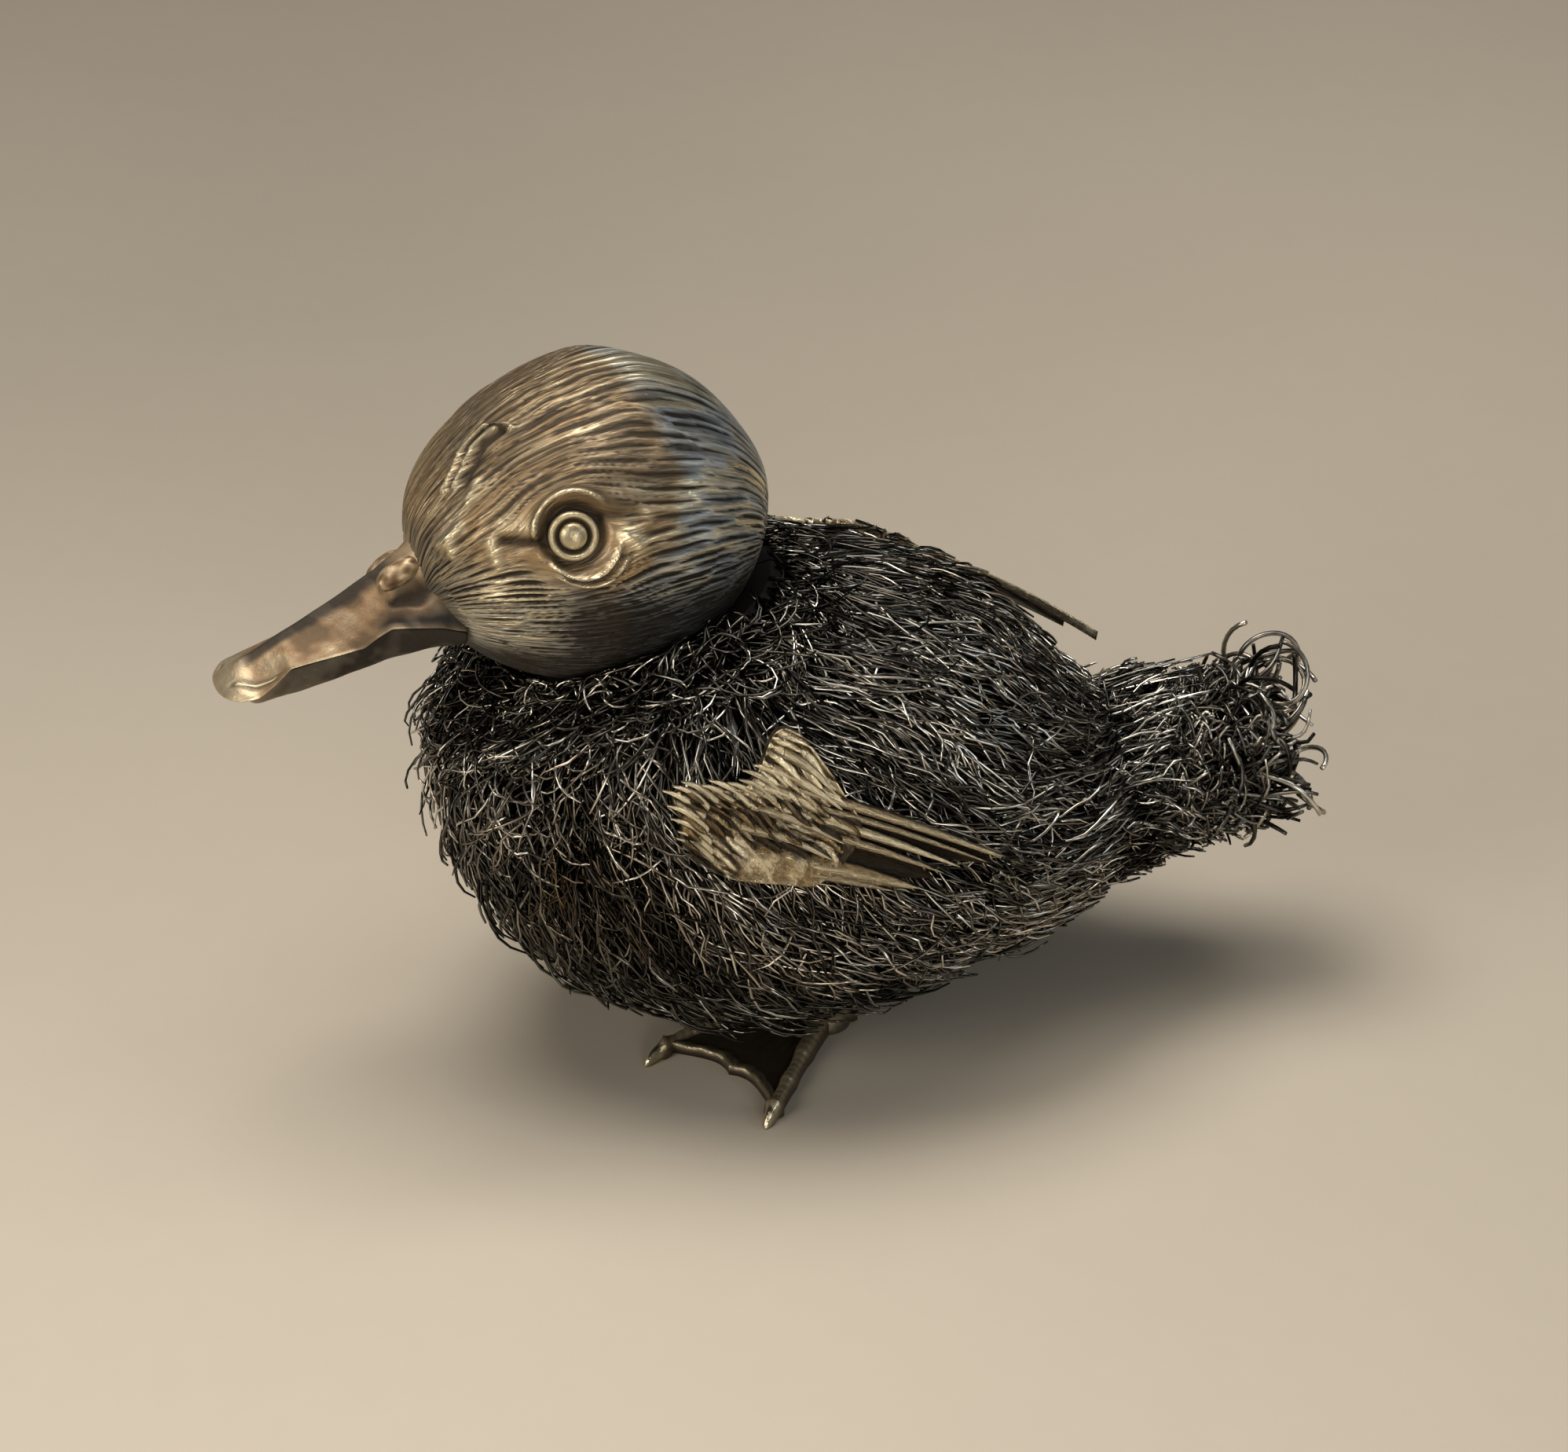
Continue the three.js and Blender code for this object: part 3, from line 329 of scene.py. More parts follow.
def knots(points, t):
    """Catmull-Rom curve through points at the shares t of its run, carried on straight past its two ends."""
    p = np.asarray(points, float)
    padded = np.vstack([2 * p[0] - p[1], p, 2 * p[-1] - p[-2]])
    inner = held(t)
    i = np.minimum((inner * (len(p) - 1)).astype(int), len(p) - 2)
    w = (inner * (len(p) - 1) - i)[..., None]
    p0, p1, p2, p3 = (padded[i + k] for k in range(4))
    m1, m2 = (p2 - p0) / 2, (p3 - p1) / 2
    inside = (2 * w**3 - 3 * w**2 + 1) * p1 + (w**3 - 2 * w**2 + w) * m1
    inside = inside + (3 * w**2 - 2 * w**3) * p2 + (w**3 - w**2) * m2
    over = ((t - inner) * (len(p) - 1))[..., None]
    return inside + over * np.where(over < 0, m1, m2)


def spin(axis, angle):
    """Rotation matrix about X, Y or Z."""
    c, s = math.cos(angle), math.sin(angle)
    i, j = [k for k in range(3) if k != axis]
    sign = -1 if axis == 1 else 1
    m = np.eye(3)
    m[i, i] = m[j, j] = c
    m[i, j], m[j, i] = -sign * s, sign * s
    return m


HEAD_SPIN = spin(2, HEAD_TURN)


def on_head(local):
    """Points of the head's own frame, turned and moved to the head's place."""
    return local @ HEAD_SPIN.T + HEAD_CENTRE


def body_line(shares):
    """Places back and up for shares of the body's length and height."""
    return [((a - BREAST_SHARE) * BODY_LENGTH, BELLY_HEIGHT + u * BODY_HEIGHT) for a, u in shares]


def body_ring(t):
    """Centre and up direction of a body ring."""
    top, low = (knots(body_line(line), np.array([t]))[0] for line in (CREST, KEEL))
    centre, up = (top + low) / 2, unit(top - low)
    return np.array([0, *centre]), np.array([0, *up])


RUMP_CENTRE, RUMP_UP = body_ring(1.0)
TAIL_AXIS = np.cross(RUMP_UP, [1, 0, 0])


def coat(t, angle, lift):
    """A point over the body shell: ellipses from keel to crest, then straight on along the tail's axis."""
    past, t = np.maximum(t - 1, 0), np.minimum(t, 1)
    top, low = knots(body_line(CREST), t), knots(body_line(KEEL), t)
    wide = np.maximum(knots([(f * BODY_WIDTH / 2,) for f in FLANK], t)[..., 0], LEAST_HALF_WIDTH)
    span = top - low
    high = np.linalg.norm(span, axis=-1) / 2
    yz = (top + low) / 2 + unit(span) * ((high + lift) * np.sin(angle))[..., None]
    yz = yz + (past * BODY_LENGTH)[..., None] * TAIL_AXIS[1:]
    return np.concatenate([((wide + lift) * np.cos(angle))[..., None], yz], axis=-1)


def coat_slopes(t, angle, lift):
    """How a point of the coat moves with t and with the angle: differences over a small step each way."""
    along = (coat(t + SMALL, angle, lift) - coat(t - SMALL, angle, lift)) / (2 * SMALL)
    around = (coat(t, angle + SMALL, lift) - coat(t, angle - SMALL, lift)) / (2 * SMALL)
    return along, around


def tail_point(q, angle, lift):
    """A point round the tail's axis: share q of its length, angle round it, lift over the tapered core."""
    core = TAIL_CORE_RADIUS * (1 - (1 - TAIL_TAPER) * held(q * TAIL_LENGTH / TAIL_CORE_LENGTH))
    out = np.maximum(core + lift, 0)[..., None]
    ring = np.cos(angle)[..., None] * np.array([1.0, 0, 0]) + np.sin(angle)[..., None] * RUMP_UP
    return RUMP_CENTRE + (q * TAIL_LENGTH)[..., None] * TAIL_AXIS + out * ring


def wing_frame(side):
    """Seat of a wing and its outward, backward and upward directions."""
    seat = WING_SEATS[side]
    flip = np.array([MIRROR[side], 1, 1])
    dip, lean, toe_in = (math.radians(seat[k]) for k in ("dip", "lean", "toe_in"))
    turn = spin(2, toe_in) @ spin(1, -lean) @ spin(0, -dip)
    lift = FUR_DEPTH + FIT_GAP + WING_THICKNESS / 2
    origin = coat(np.array([seat["along"]]), np.radians([seat["round"]]), np.array([lift]))[0]
    ways = {way: turn[:, n] * flip for n, way in enumerate(("out", "back", "up"))}
    return {"origin": origin * flip, **ways}


WING_FRAMES = {side: wing_frame(side) for side in SIDES}


def wing_sag(along, across):
    """How far a wing's plate bends towards the body: the squares of both distances over twice the bends."""
    return along**2 / (2 * WING_BEND[0]) + across**2 / (2 * WING_BEND[1])


def wing_point(seat, along, across, out):
    """A point of a wing: along and across its plate, which bends towards the body, and out from it."""
    lifted = (out - wing_sag(along, across))[..., None] * seat["out"]
    return seat["origin"] + along[..., None] * seat["back"] + across[..., None] * seat["up"] + lifted


def outline_gap(x, y, outline):
    """Distance from each point to a closed outline, less than zero inside it."""
    a = np.asarray(outline, float)
    b = np.roll(a, -1, axis=0)
    p = np.stack([x, y], -1)[..., None, :]
    run = b - a
    share = held(((p - a) * run).sum(-1) / (run**2).sum(-1))
    gap = np.linalg.norm(p - a - share[..., None] * run, axis=-1).min(-1)
    crossed = (a[:, 1] > p[..., 1]) != (b[:, 1] > p[..., 1])
    rise = np.where(run[:, 1] == 0, 1e-9, run[:, 1])
    left = p[..., 0] < run[:, 0] * (p[..., 1] - a[:, 1]) / rise + a[:, 0]
    inside = (crossed & left).sum(-1) % 2 == 1
    return np.where(inside, -gap, gap)


def clear_of_wings(points, over):
    """Wires that come to a wing slope to a level under its plate, or over it where over is true."""
    for seat in WING_FRAMES.values():
        rel = points - seat["origin"]
        along, across = rel @ seat["back"], rel @ seat["up"]
        level = rel @ seat["out"] + wing_sag(along, across)
        gap = outline_gap(along, across, WING_PLAN)
        near = (np.abs(level) < WING_NEAR) & (gap < WING_ROUND)
        ceiling = PASS_UNDER + PASS_SLOPE * np.maximum(gap, 0)
        floor = PASS_OVER - PASS_SLOPE * np.maximum(gap, 0)
        wanted = np.where(over, np.maximum(level, floor), np.minimum(level, ceiling))
        points = points + np.where(near, wanted - level, 0)[..., None] * seat["out"]
    return points


def clear_of_head(points, margin):
    """Points inside the head's ellipsoid, grown by a margin, move straight out to its skin."""
    local = (points - HEAD_CENTRE) @ HEAD_SPIN
    depth = np.linalg.norm(local / (HEAD_HALF + margin), axis=-1, keepdims=True)
    return on_head(np.where(depth < 1, local / np.maximum(depth, 0.05), local))


class Piece:
    """Gathers closed tubes and makes one mesh of them, with a cell of the bake map for each tube."""

    def __init__(self, name):
        self.name = name
        self.parts = []

    def add(self, rings, **marks):
        """rings holds tubes, rings, sides and coordinates in millimetres; marks are values at its points."""
        rings = np.asarray(rings, float)
        rings = rings[None] if rings.ndim == 3 else rings
        shape = rings.shape[:3]
        self.parts.append((rings, {k: np.broadcast_to(v, shape) for k, v in marks.items()}))

    @staticmethod
    def skin(steps, sides):
        """Corner numbers and map places of one tube: quads round it and a fan to the middle of each end."""
        i, j = (g.ravel() for g in grid(np.arange(steps - 1), np.arange(sides)))
        k = (j + 1) % sides
        quads = np.stack([i * sides + j, i * sides + k, (i + 1) * sides + k, (i + 1) * sides + j], -1)
        u = CAP_SHARE + (1 - 2 * CAP_SHARE) * np.stack([i, i, i + 1, i + 1], -1) / (steps - 1)
        v = np.stack([j, j + 1, j + 1, j], -1) / sides
        j = np.arange(sides)
        k = (j + 1) % sides
        last = (steps - 1) * sides
        fans = np.concatenate([
            np.stack([np.full(sides, steps * sides), k, j], -1),
            np.stack([np.full(sides, steps * sides + 1), last + j, last + k], -1),
        ])
        ends = np.repeat([0.0, 1.0], sides)
        edge = np.repeat([CAP_SHARE, 1 - CAP_SHARE], sides)
        fan_u = np.stack([ends, edge, edge], -1)
        near, far = np.concatenate([j + 1, j]), np.concatenate([j, j + 1])
        fan_v = np.stack([(near + far) / 2, near, far], -1) / sides
        return quads, np.stack([u, v], -1), fans, np.stack([fan_u, fan_v], -1)

    @staticmethod
    def area(rings):
        """Length of each tube times its girth, summed."""
        along = np.linalg.norm(np.diff(rings.mean(2), axis=1), axis=-1).sum(1)
        girth = np.linalg.norm(np.diff(rings, axis=2, append=rings[:, :, :1]), axis=-1).sum(2).max(1)
        return float((np.maximum(along, girth / 4) * girth).sum())

    @staticmethod
    def volume(verts, quads, fans):
        """Six times a tube's volume: triple products summed, less than zero where faces point in."""
        tris = np.concatenate([quads[:, :3], quads[:, [0, 2, 3]], fans])
        a, b, c = (verts[tris[:, k]] - verts.mean(0) for k in range(3))
        return (a * np.cross(b, c)).sum()

    @staticmethod
    def cells(uv, count, rings, low, high):
        """Map places of count like tubes, laid out as a grid of cells in the band from low to high."""
        along = np.linalg.norm(np.diff(rings[0].mean(1), axis=0), axis=-1).sum()
        girth = np.linalg.norm(np.diff(rings[0], axis=1), axis=-1).sum(1).max()
        shape = min(max(along / max(girth, 1e-6), 0.3), 5)
        columns = min(count, max(1, round(math.sqrt(count / (shape * (high - low))))))
        rows = math.ceil(count / columns)
        n = np.arange(count)
        size = np.array([1 / columns, (high - low) / rows])
        corner = np.stack([n % columns, n // columns], -1) * size + (0, low)
        return (corner[:, None] + (CELL_EDGE + (1 - 2 * CELL_EDGE) * uv) * size).reshape(-1, 2)

    def gather(self):
        """Points, corner numbers, map places, face sizes and marks of all tubes, as whole arrays."""
        points, corners, places, sizes, values = [], [], [], [], {}
        areas = [self.area(rings) for rings, _ in self.parts]
        shares = np.maximum(np.array(areas) / sum(areas), LEAST_BAND)
        bands = np.concatenate([[0], np.cumsum(shares / shares.sum())])
        start = 0
        for n, (rings, marks) in enumerate(self.parts):
            count, steps, sides = rings.shape[:3]
            ends = rings[:, [0, -1]].mean(axis=2)
            verts = np.concatenate([rings.reshape(count, -1, 3), ends], axis=1)
            skin = self.skin(steps, sides)
            if self.volume(verts[0], skin[0], skin[2]) < 0:
                skin = [part[:, ::-1] for part in skin]
            quads, quad_uv, fans, fan_uv = skin
            loops = np.concatenate([quads.ravel(), fans.ravel()])
            cell_uv = np.concatenate([quad_uv.reshape(-1, 2), fan_uv.reshape(-1, 2)])
            offsets = start + np.arange(count) * verts.shape[1]
            corners.append((loops + offsets[:, None]).ravel())
            places.append(self.cells(cell_uv, count, rings, bands[n], bands[n + 1]))
            sizes.append(np.tile(np.repeat([4, 3], [len(quads), len(fans)]), count))
            points.append(verts.reshape(-1, 3))
            for key, mark in marks.items():
                tips = mark[:, [0, -1]].mean(axis=2)
                flat = np.concatenate([mark.reshape(count, -1), tips], axis=1).ravel()
                values.setdefault(key, []).append(flat)
            start += count * verts.shape[1]
        joined = [np.concatenate(lists) for lists in (points, corners, places, sizes)]
        return *joined, {key: np.concatenate(lists) for key, lists in values.items()}

    def make(self, material, nodes):
        """Builds the mesh, hangs it on the body and lets it stand for its CAD nodes."""
        points, loops, places, totals, values = self.gather()
        mesh = bpy.data.meshes.new(self.name)
        mesh.vertices.add(len(points))
        mesh.vertices.foreach_set("co", ((points + DESIGN_ORIGIN) * MM).astype(np.float32).ravel())
        mesh.loops.add(len(loops))
        mesh.loops.foreach_set("vertex_index", loops.astype(np.int32))
        mesh.polygons.add(len(totals))
        mesh.polygons.foreach_set("loop_start", (np.cumsum(totals) - totals).astype(np.int32))
        mesh.polygons.foreach_set("use_smooth", np.ones(len(totals), bool))
        mesh.update(calc_edges=True)
        bake = mesh.uv_layers.new(name="OFBake")
        bake.uv.foreach_set("vector", places.astype(np.float32).ravel())
        for key, mark in values.items():
            mesh.attributes.new(key, "FLOAT", "POINT").data.foreach_set("value", mark.astype(np.float32))
        if mesh.validate():
            raise RuntimeError(f"{self.name} has faces that Blender had to mend")
        mesh.materials.append(material)
        obj = bpy.data.objects.new(self.name, mesh)
        bpy.context.scene.collection.objects.link(obj)
        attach(obj, BODY)
        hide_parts(*nodes)


def tubes(paths, lean, radius, sides):
    """Round tubes: circles of a radius, square to each path, that start on the side nearest to lean."""
    run = unit(np.gradient(paths, axis=1))
    beside = unit(np.cross(run, lean[:, None]))
    over = np.cross(beside, run)
    turn = turns(sides)[:, None]
    circle = np.cos(turn) * over[:, :, None] + np.sin(turn) * beside[:, :, None]
    return paths[:, :, None] + radius[..., None, None] * circle


def walk(length, heading, bend, steps, kink=0.0, phase=0.0):
    """How far a wire has run forward and aside at each step: its heading turns by bend and sways by kink."""
    s = np.linspace(0, 1, steps)
    turn = heading[:, None] + bend[:, None] * s + kink * np.sin(2 * np.pi * KINK_WAVES * s + phase)
    forward = np.cumsum(np.cos(turn), axis=1) - np.cos(turn[:, :1])
    aside = np.cumsum(np.sin(turn), axis=1) - np.sin(turn[:, :1])
    return s, forward * length[:, None] / (steps - 1), aside * length[:, None] / (steps - 1)


def coat_wires(t0, angle0, length, heading, bend, lift0, lift1, arch, steps, kink=0.0, phase=0.0):
    """Paths of wires over the coat: they run back from their roots, turn, and rise between two lifts."""
    rate_t, rate_a = (np.linalg.norm(slope, axis=-1) for slope in coat_slopes(t0, angle0, lift0))
    s, forward, aside = walk(length, heading, bend, steps, kink, phase)
    t = t0[:, None] + forward / np.maximum(rate_t, LEAST_ALONG)[:, None]
    angle = angle0[:, None] + aside / np.maximum(rate_a, LEAST_AROUND)[:, None]
    lift = lift0[:, None] + (lift1 - lift0)[:, None] * np.sin(s * arch[:, None] * np.pi / 2)
    lean = unit(coat(t0, angle0, lift0 + 1) - coat(t0, angle0, lift0))
    return coat(t, angle, lift), lean, s


def scatter(rng, low, high, density, steps=40):
    """Roots spread evenly over the coat between two rings: places drawn in proportion to the area there."""
    t, angle = grid(np.linspace(low, high, steps), np.linspace(-np.pi, np.pi, 4 * steps))
    weight = np.linalg.norm(np.cross(*coat_slopes(t, angle, np.ones_like(t))), axis=-1).ravel()
    area = weight.mean() * (high - low) * 2 * np.pi
    count = int(area * density)
    picked = rng.choice(len(weight), count, p=weight / weight.sum())
    jitter = rng.uniform(-0.5, 0.5, (2, count))
    t0 = t.ravel()[picked] + jitter[0] * (high - low) / steps
    angle0 = angle.ravel()[picked] + jitter[1] * 2 * np.pi / (4 * steps)
    return t0, angle0


class Tap:
    """One output of a material's nodes. Arithmetic on it adds Math nodes."""

    def __init__(self, paint, socket):
        self.paint = paint
        self.socket = socket

    def __add__(self, other):
        return self.paint.math("ADD", self, other)

    def __sub__(self, other):
        return self.paint.math("SUBTRACT", self, other)

    def __rsub__(self, other):
        return self.paint.math("SUBTRACT", other, self)

    def __mul__(self, other):
        return self.paint.math("MULTIPLY", self, other)

    __radd__ = __add__
    __rmul__ = __mul__


class Paint:
    """A node material with one Principled shader."""

    def __init__(self, name):
        self.material = bpy.data.materials.new(name)
        self.material.use_nodes = True
        self.tree = self.material.node_tree
        self.shader = self.tree.nodes["Principled BSDF"]
        self.place = self.node("ShaderNodeTexCoord", output="Object")

    def node(self, kind, settings=None, inputs=None, output=0):
        """Any node: its settings are set first, then the values or links of its sockets."""
        made = self.tree.nodes.new(kind)
        for key, value in (settings or {}).items():
            setattr(made, key, value)
        for key, value in (inputs or {}).items():
            self.plug(made.inputs[key], value)
        return Tap(self, made.outputs[output])

    def plug(self, socket, value):
        """Links a tap to a socket, or sets the socket's own value."""
        if isinstance(value, Tap):
            self.tree.links.new(value.socket, socket)
        elif socket.type == "RGBA":
            socket.default_value = (*value, 1)
        else:
            socket.default_value = value

    def math(self, operation, a, b):
        """A Math node on two values."""
        return self.node("ShaderNodeMath", {"operation": operation}, {0: a, 1: b})

    def clamp(self, value):
        """A value held between 0 and 1."""
        return self.node("ShaderNodeClamp", inputs={"Value": value})

    def mix(self, factor, a, b):
        """Colour a where the factor is 0 and b where it is 1, by a Mix node's colour sockets 6, 7 and 2."""
        return self.node("ShaderNodeMix", {"data_type": "RGBA"}, {0: factor, 6: a, 7: b}, output=2)

    def mark(self, name):
        """A value that the mesh carries at its points."""
        return self.node("ShaderNodeAttribute", {"attribute_name": name}, output="Fac")

    def noise(self, scale, detail, rough=0.6, where=None):
        """Noise on Object coordinates, or on another place."""
        place = self.place if where is None else where
        settings = {"Vector": place, "Scale": scale, "Detail": detail, "Roughness": rough}
        return self.node("ShaderNodeTexNoise", inputs=settings)

    def step(self, value, low, high):
        """Smooth step of a value, from 0 at low to 1 at high."""
        limits = {"Value": value, "From Min": low, "From Max": high}
        return self.node("ShaderNodeMapRange", {"interpolation_type": "SMOOTHSTEP"}, limits)

    def dim(self, colour, value):
        """A colour times a value."""
        return self.node("ShaderNodeVectorMath", {"operation": "SCALE"}, {0: colour, "Scale": value})

    def hairs(self, fine, length):
        """Fine streaks that follow the strokes: noise on the lane's number and on the place along it."""
        place = {"X": self.mark("lane") * fine, "Y": self.mark("run") * length}
        return self.noise(1.0, 3.0, where=self.node("ShaderNodeCombineXYZ", inputs=place))

    def finish(self, bump=None, strength=0.3, distance=0.0001, **sockets):
        """Sets or links the shader's sockets, and a bump from a height."""
        for key, value in sockets.items():
            self.plug(self.shader.inputs[key.replace("_", " ")], value)
        if bump is not None:
            relief = {"Strength": strength, "Distance": distance, "Height": bump}
            self.plug(self.shader.inputs["Normal"], self.node("ShaderNodeBump", inputs=relief))
        return self.material


def wire_finish(name, look, gloss=0.18):
    """Oxidised wire: each its own brightness and warmth, painted dark at the root as the shade of the fur
    over it, and brighter to the tip.
    """
    paint = Paint(name)
    tint, along, warm = (paint.mark(k) for k in ("tint", "along", "warm"))
    stain = paint.noise(420, 3)
    # How bright each point is painted: the wire's own tone and stains, with painted shade at the root and,
    # through tint, on inner and lower wires.
    painted = paint.clamp(tint * (0.4 + 0.6 * along) + (stain - 0.5) * 0.25)
    base = paint.mix(painted, look.oxide_and_shade, paint.mix(warm, look.silver, look.bronze))
    rough = gloss - 0.04 * painted + 0.1 * stain
    return paint.finish(Base_Color=base, Roughness=rough, Metallic=1.0)


def chased_finish(name, look, warm_tint, cold_tint, gloss, metallic, worn=0.98, combed=False):
    """Chased cast silver: dark in the cuts, warm or cold in patches, and worn to bright metal where high; on
    some pieces the dark mark also carries painted shade, and the bright mark painted glints and painted
    light.
    """
    paint = Paint(name)
    groove, warm, bare = (paint.mark(k) for k in ("groove", "warm", "bare"))
    cloud, grain = paint.noise(170, 5, 0.65), paint.noise(900, 5, 0.7)
    tone = paint.clamp(warm + (cloud - 0.5) * 1.1)
    hair = paint.step(paint.hairs(1.5, 1.3), 0.32, 0.68) if combed else grain
    metal = paint.dim(paint.mix(tone, cold_tint, warm_tint), 0.3 + 0.9 * hair + 0.5 * cloud)
    # Fine flecks of bright metal on the bright parts: painted glints.
    glint_fleck = paint.step(paint.noise(1500, 2), 0.64, 0.72)
    bright = paint.clamp(bare * (0.55 + 0.9 * hair) + bare * glint_fleck)
    lit = paint.mix(bright, metal, look.gold)
    dark = paint.mix(tone, look.oxide_and_shade, look.umber_and_shade)
    base = paint.mix(paint.clamp(groove * (0.8 + 0.5 * cloud)), lit, dark)
    rough = gloss + 0.2 * groove + 0.16 * (grain - 0.5) - 0.12 * bright
    height = hair + 0.5 * grain if combed else grain
    return paint.finish(bump=height, strength=0.7, distance=0.00016, Base_Color=base, Roughness=rough,
                        Metallic=metallic + (worn - metallic) * bright)


def shell_finish(look):
    """Dull black oxidised sheet under the fur."""
    paint = Paint("oxidised_sheet")
    stain, grain = paint.noise(90, 5), paint.noise(700, 3)
    base = paint.mix(stain, look.soot, look.oxide_and_shade)
    return paint.finish(bump=grain, strength=0.2, Base_Color=base, Roughness=0.55 + 0.3 * stain,
                        Metallic=0.8)


def table_finish(stage):
    """Pale matt table with a faint mottle, which the camera sees as evenly pale far from the duckling."""
    paint = Paint("pale_table")
    mottle, grain = paint.noise(9, 3), paint.noise(260, 4)
    x, y = (paint.node("ShaderNodeSeparateXYZ", inputs={"Vector": paint.place}, output=k) for k in "XY")
    # Painted light: the table is lighter near the camera and darker far off, and on the right lighter far
    # off and darker near, standing in for the fall of the lamps' light.
    near = paint.step(x, -0.16, 0.12)
    side = paint.step(y, -0.04, 0.14)
    shade = (0.65 + 0.42 * near + side * (0.16 - 0.4 * near)) * (0.94 + 0.08 * mottle + 0.04 * grain)
    away = paint.node("ShaderNodeVectorMath", {"operation": "LENGTH"}, {0: paint.place}, output="Value")
    far = paint.step(away, 0.32, 0.8) * paint.node("ShaderNodeLightPath", output="Is Camera Ray")
    return paint.finish(bump=grain, strength=0.05, Base_Color=paint.dim(stage.table, shade),
                        Roughness=0.5 + 0.2 * mottle, Emission_Color=paint.dim(stage.backdrop, far),
                        Emission_Strength=1.0)


def colour_setting(label, words, value):
    """A colour that a user may change."""
    return FloatVectorProperty(name=label, description=words, default=value, size=3,
                               subtype="COLOR", min=0, max=1)


def length_setting(label, words, mm):
    """A length that a user may change, given in millimetres and held in metres."""
    return FloatProperty(name=label, description=words, default=mm * MM, min=0, unit="LENGTH", precision=5)


def angle_setting(label, words, degrees):
    """An angle that a user may change, given in degrees."""
    return FloatProperty(name=label, description=words, default=math.radians(degrees), subtype="ANGLE")


def number_setting(label, words, value, **limits):
    """A number that a user may change."""
    return FloatProperty(name=label, description=words, default=value, **limits)


def count_setting(label, words, value, **limits):
    """A whole number that a user may change."""
    return IntProperty(name=label, description=words, default=value, **limits)


class DucklingLook(bpy.types.PropertyGroup):
    """Colours of the metals."""

    silver: colour_setting("Silver", "Wire where it is rubbed bright", (0.92, 0.875, 0.78))
    # Oxide is also the colour of painted shade at the roots of the fur wires and on inner and lower wires,
    # and oxide and umber that of painted shade on the crown of the head.
    oxide_and_shade: colour_setting("Oxide", "Black patina on wire and in the strokes", (0.017, 0.0155, 0.0125))
    soot: colour_setting("Soot", "Darkest places of the sheet under the fur", (0.012, 0.011, 0.01))
    bronze: colour_setting("Bronze", "Warm patina on the head and on some wires", (0.33, 0.222, 0.115))
    umber_and_shade: colour_setting("Umber", "Brown patina in the warm hollows", (0.055, 0.04, 0.025))
    # Slate, on the back of the head, is patina and partly a painted reflection of cool light.
    slate: colour_setting("Slate", "Cold patina on the back of the head", (0.36, 0.4, 0.42))
    # Gold also colours the painted glints and painted light on the head, bill and wings.
    gold: colour_setting("Gold", "Worn high places of the castings", (0.92, 0.79, 0.53))
    eye_warm: colour_setting("Warm eye", "Warm patina on the eyes", (0.36, 0.27, 0.14))
    eye_cold: colour_setting("Cold eye", "Cold patina on the eyes", (0.3, 0.28, 0.21))
    bill_warm: colour_setting("Warm bill", "Warm patina on the bill", (0.24, 0.142, 0.066))
    bill_cold: colour_setting("Cold bill", "Cold patina on the bill", (0.13, 0.123, 0.105))
    wing_warm: colour_setting("Warm wing", "Warm patina on the wings", (0.3, 0.2, 0.085))
    wing_cold: colour_setting("Cold wing", "Cold patina on the wings", (0.17, 0.12, 0.06))
    foot_warm: colour_setting("Warm foot", "Warm patina on the feet", (0.36, 0.27, 0.15))
    foot_cold: colour_setting("Cold foot", "Cold patina on the feet", (0.16, 0.135, 0.1))


class DucklingWires(bpy.types.PropertyGroup):
    """Wires of the coat and the tail."""

    radius: length_setting("Wire radius", "Half the thickness of a fur wire", 0.138)
    tail_radius: length_setting("Tail wire radius", "Half the thickness of a tail wire", 0.25)
    run: length_setting("Wire length", "Usual length of a fur wire on the flank", 7.0)
    density: number_setting("Density", "Wires on each square millimetre", 3.4, min=0.1)
    steps: count_setting("Rings", "Rings along a fur wire", 7, min=3)
    seed: count_setting("Seed", "Start of the random draws", 7)


class DucklingChasing(bpy.types.PropertyGroup):
    """Strokes chased into the castings."""

    lanes: count_setting("Head strokes", "Strokes side by side round the head", 108, min=8)
    dash: length_setting("Stroke length", "Usual length of a stroke on the head", 5.6)
    depth: length_setting("Stroke depth", "Depth of the strokes at the widest part of the head", 0.3)
    wing_pitch: length_setting("Wing stroke pitch", "Distance between strokes on a wing", 0.74)
    wing_depth: length_setting("Wing stroke depth", "Depth of the strokes on a wing", 0.36)


class DucklingStage(bpy.types.PropertyGroup):
    """Table, lights and camera."""

    table: colour_setting("Table", "Colour of the table", (0.56, 0.488, 0.39))
    backdrop: colour_setting("Backdrop", "Look of the table far from the duckling", (0.33, 0.285, 0.22))
    sky: number_setting("Room light", "Strength of the even room light", 0.048, min=0)
    key: number_setting("Key light", "Power that the lamps share", 2.75, min=0, unit="POWER")
    azimuth: angle_setting("Azimuth", "Way round of the camera", 81)
    elevation: angle_setting("Elevation", "Height of the camera over the table", 31)
    distance: length_setting("Distance", "From the camera to its target", 330)
    lens: number_setting("Lens", "Focal length in millimetres", 89.23, min=1, unit="CAMERA")
    target: FloatVectorProperty(name="Target", description="Point in the middle of the picture",
                                default=(-0.00008, 0.00007, 0.027), size=3, subtype="XYZ", unit="LENGTH")


def wire_marks(rng, paths, s, warm, shade):
    """Brightness and warmth of each wire, in patches and one by one, and the place along it."""
    count = len(paths)
    patch = ripple(paths[:, 0], 9, rng)
    tint = held(rng.beta(1.2, 1.5, count) * shade + 0.08 * patch)
    gold = held(warm + 0.25 * ripple(paths[:, 0], 14, rng) + rng.normal(0, 0.18, count))
    return {"tint": tint[:, None, None], "warm": gold[:, None, None], "along": s[None, :, None]}


